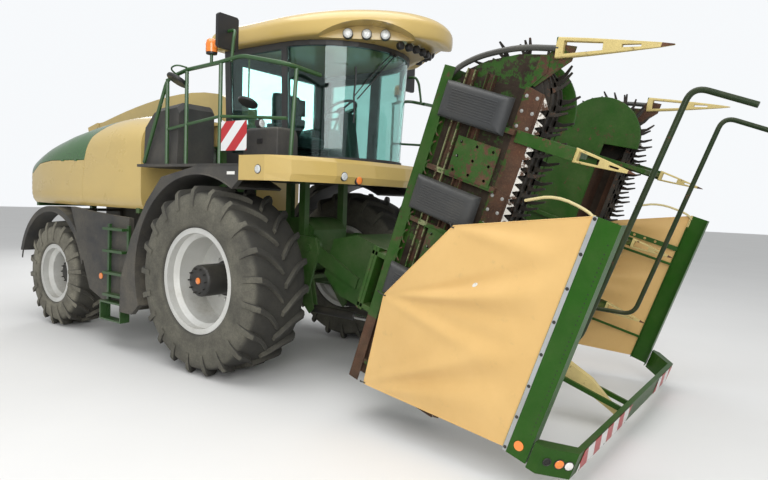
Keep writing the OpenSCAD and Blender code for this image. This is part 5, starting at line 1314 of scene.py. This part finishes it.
# ---------------------------------------------------------------- Tarpaulins
# Coated sand-coloured cloth, cut with five corners, screwed to the channel and hooked to the wing at three
# points, from which long soft folds run forward. Each sheet has a hem, black hooks and one eyelet patch.
tarp_wing_edge = [(1990, 1480, 1040), (1920, 1480, 1830), (2350, 1530, 2600)]
tarp_channel_edge = [(3329, 1686, 1370), (3329, 1686, 2200), (3329, 1686, 3040)]
tarp_cloth, tree, shader = new_material("tarp_cloth", (0.64, 0.41, 0.15), 0.62)
stain = noise(tree, 7, 8, 0.7)
cloth = blend(tree, span(tree, noise(tree, 1.3, 6, 0.6), 0.3, 0.7), (0.60, 0.375, 0.130), (0.69, 0.445, 0.165))
weft, warp = (texture(tree, "Wave", bands_direction=axis, Scale=170, Distortion=0.6) for axis in "ZX")
set_inputs(tree, shader, {
    "Base Color": blend(tree, span(tree, stain, 0.60, 0.78, 0.0, 0.35), cloth, (0.34, 0.26, 0.14)),
                          "Sheen Weight": 0.12,
    "Roughness": span(tree, stain, 0.3, 0.7, 0.5, 0.75), "Normal": bumps(tree, calc(tree, "MULTIPLY", weft, warp), 0.25,
                                                                         0.0006)})
# Each fold: where it starts on the wing's edge, where it ends on the channel's, its height and its width
folds = [(0.0, 0.18, 8, 0.05), (0.0, 0.33, -13, 0.045), (0.0, 0.47, 15, 0.05), (0.5, 0.40, -9, 0.035),
         (0.5, 0.56, -14, 0.04),
         (0.5, 0.70, 19, 0.05), (0.5, 0.84, -13, 0.045), (1.0, 0.80, 8, 0.04), (1.0, 0.91, -8, 0.035),
         (0.5, 0.30, 7, 0.04)]


def on_edge(edge, t):
    t = min(1, max(0, t)) * 2
    k = min(1, int(t))
    return tuple(a + (b - a) * (t - k) for a, b in zip(edge[k], edge[k + 1]))


def tarp_point(side, s, t, lift=0.0):
    """A point of the cloth: s from the wing to the channel, t from the lower edge to the upper one."""
    u, y, w = (p + (q - p) * s for p, q in zip(on_edge(tarp_wing_edge, t), on_edge(tarp_channel_edge, t)))
    bulge = 16 * math.sin(math.pi * s) * math.sin(math.pi * t)
    fade = math.sin(math.pi * min(1, s * 1.02)) ** 0.7 * (1 - 0.35 * s)
    for start, end, high, width in folds:
        line = start + (end - start) * s
        bulge += 2.6 * high * math.exp(-((t - line) / (0.012 + width * (0.3 + s))) ** 2) * fade
    return head(u, side * (y + bulge * min(1, (1 - s) * 7) + lift), w)


columns, rows = 121, 141
for side, hand in sides:
    body = "wing_" + hand
    points = [at(*tarp_point(side, i / (columns - 1), j / (rows - 1), d)) for d in (1.0, -1.0) for j in range(rows)
              for i in range(columns)]
    sheet = new_piece("tarp_sheet_" + hand, points, sheet_faces(columns, rows), 60)
    finish(sheet, tarp_cloth, body, replaces="tarp_" + hand)
    # hem: a welt along the three free edges
    hem_path = [(s / 30, 0) for s in reversed(range(31))] + [(0, t / 40)
                                                             for t in range(1, 41)] + [(s / 30, 1)
                                                                                       for s in range(1, 31)]
    hem = pipe("tarp_hem_" + hand, [tarp_point(side, s, t) for s, t in hem_path], 4.5, tarp_cloth, body)
    for t, back, up in ((0.008, -40, -20), (0.5, -70, 0), (0.992, -40, 26)):
        u, y, w = on_edge(tarp_wing_edge, t)
        bends = ((18, -3, 0), (16, 9, 0), (0, 10, 0), (back * 0.5, 6, up * 0.5), (back, -6, up), (back - 6, -22, up))
        way = [head(u + du, side * (y + dy), w + dw) for du, dy, dw in bends]
        pipe("tarp_hook_%s_%d" % (hand, int(t * 100)), way, 5, hub_black, body)
    patch = [[tarp_point(side, 0.50 + 0.014 * c, 0.665 + 0.011 * s, d) for c, s in round_steps(24)] for d in (2.2, 4.0)]
    eyelet = finish(loft("tarp_patch_" + hand, patch, 30), white_label, body)
    ring = [[tarp_point(side, 0.50 + 0.0045 * c, 0.669 + 0.0035 * s, d) for c, s in round_steps(16)]
            for d in (3.9, 5.0)]
    eye = finish(loft("tarp_eyelet_" + hand, ring, 30), hub_black, body)
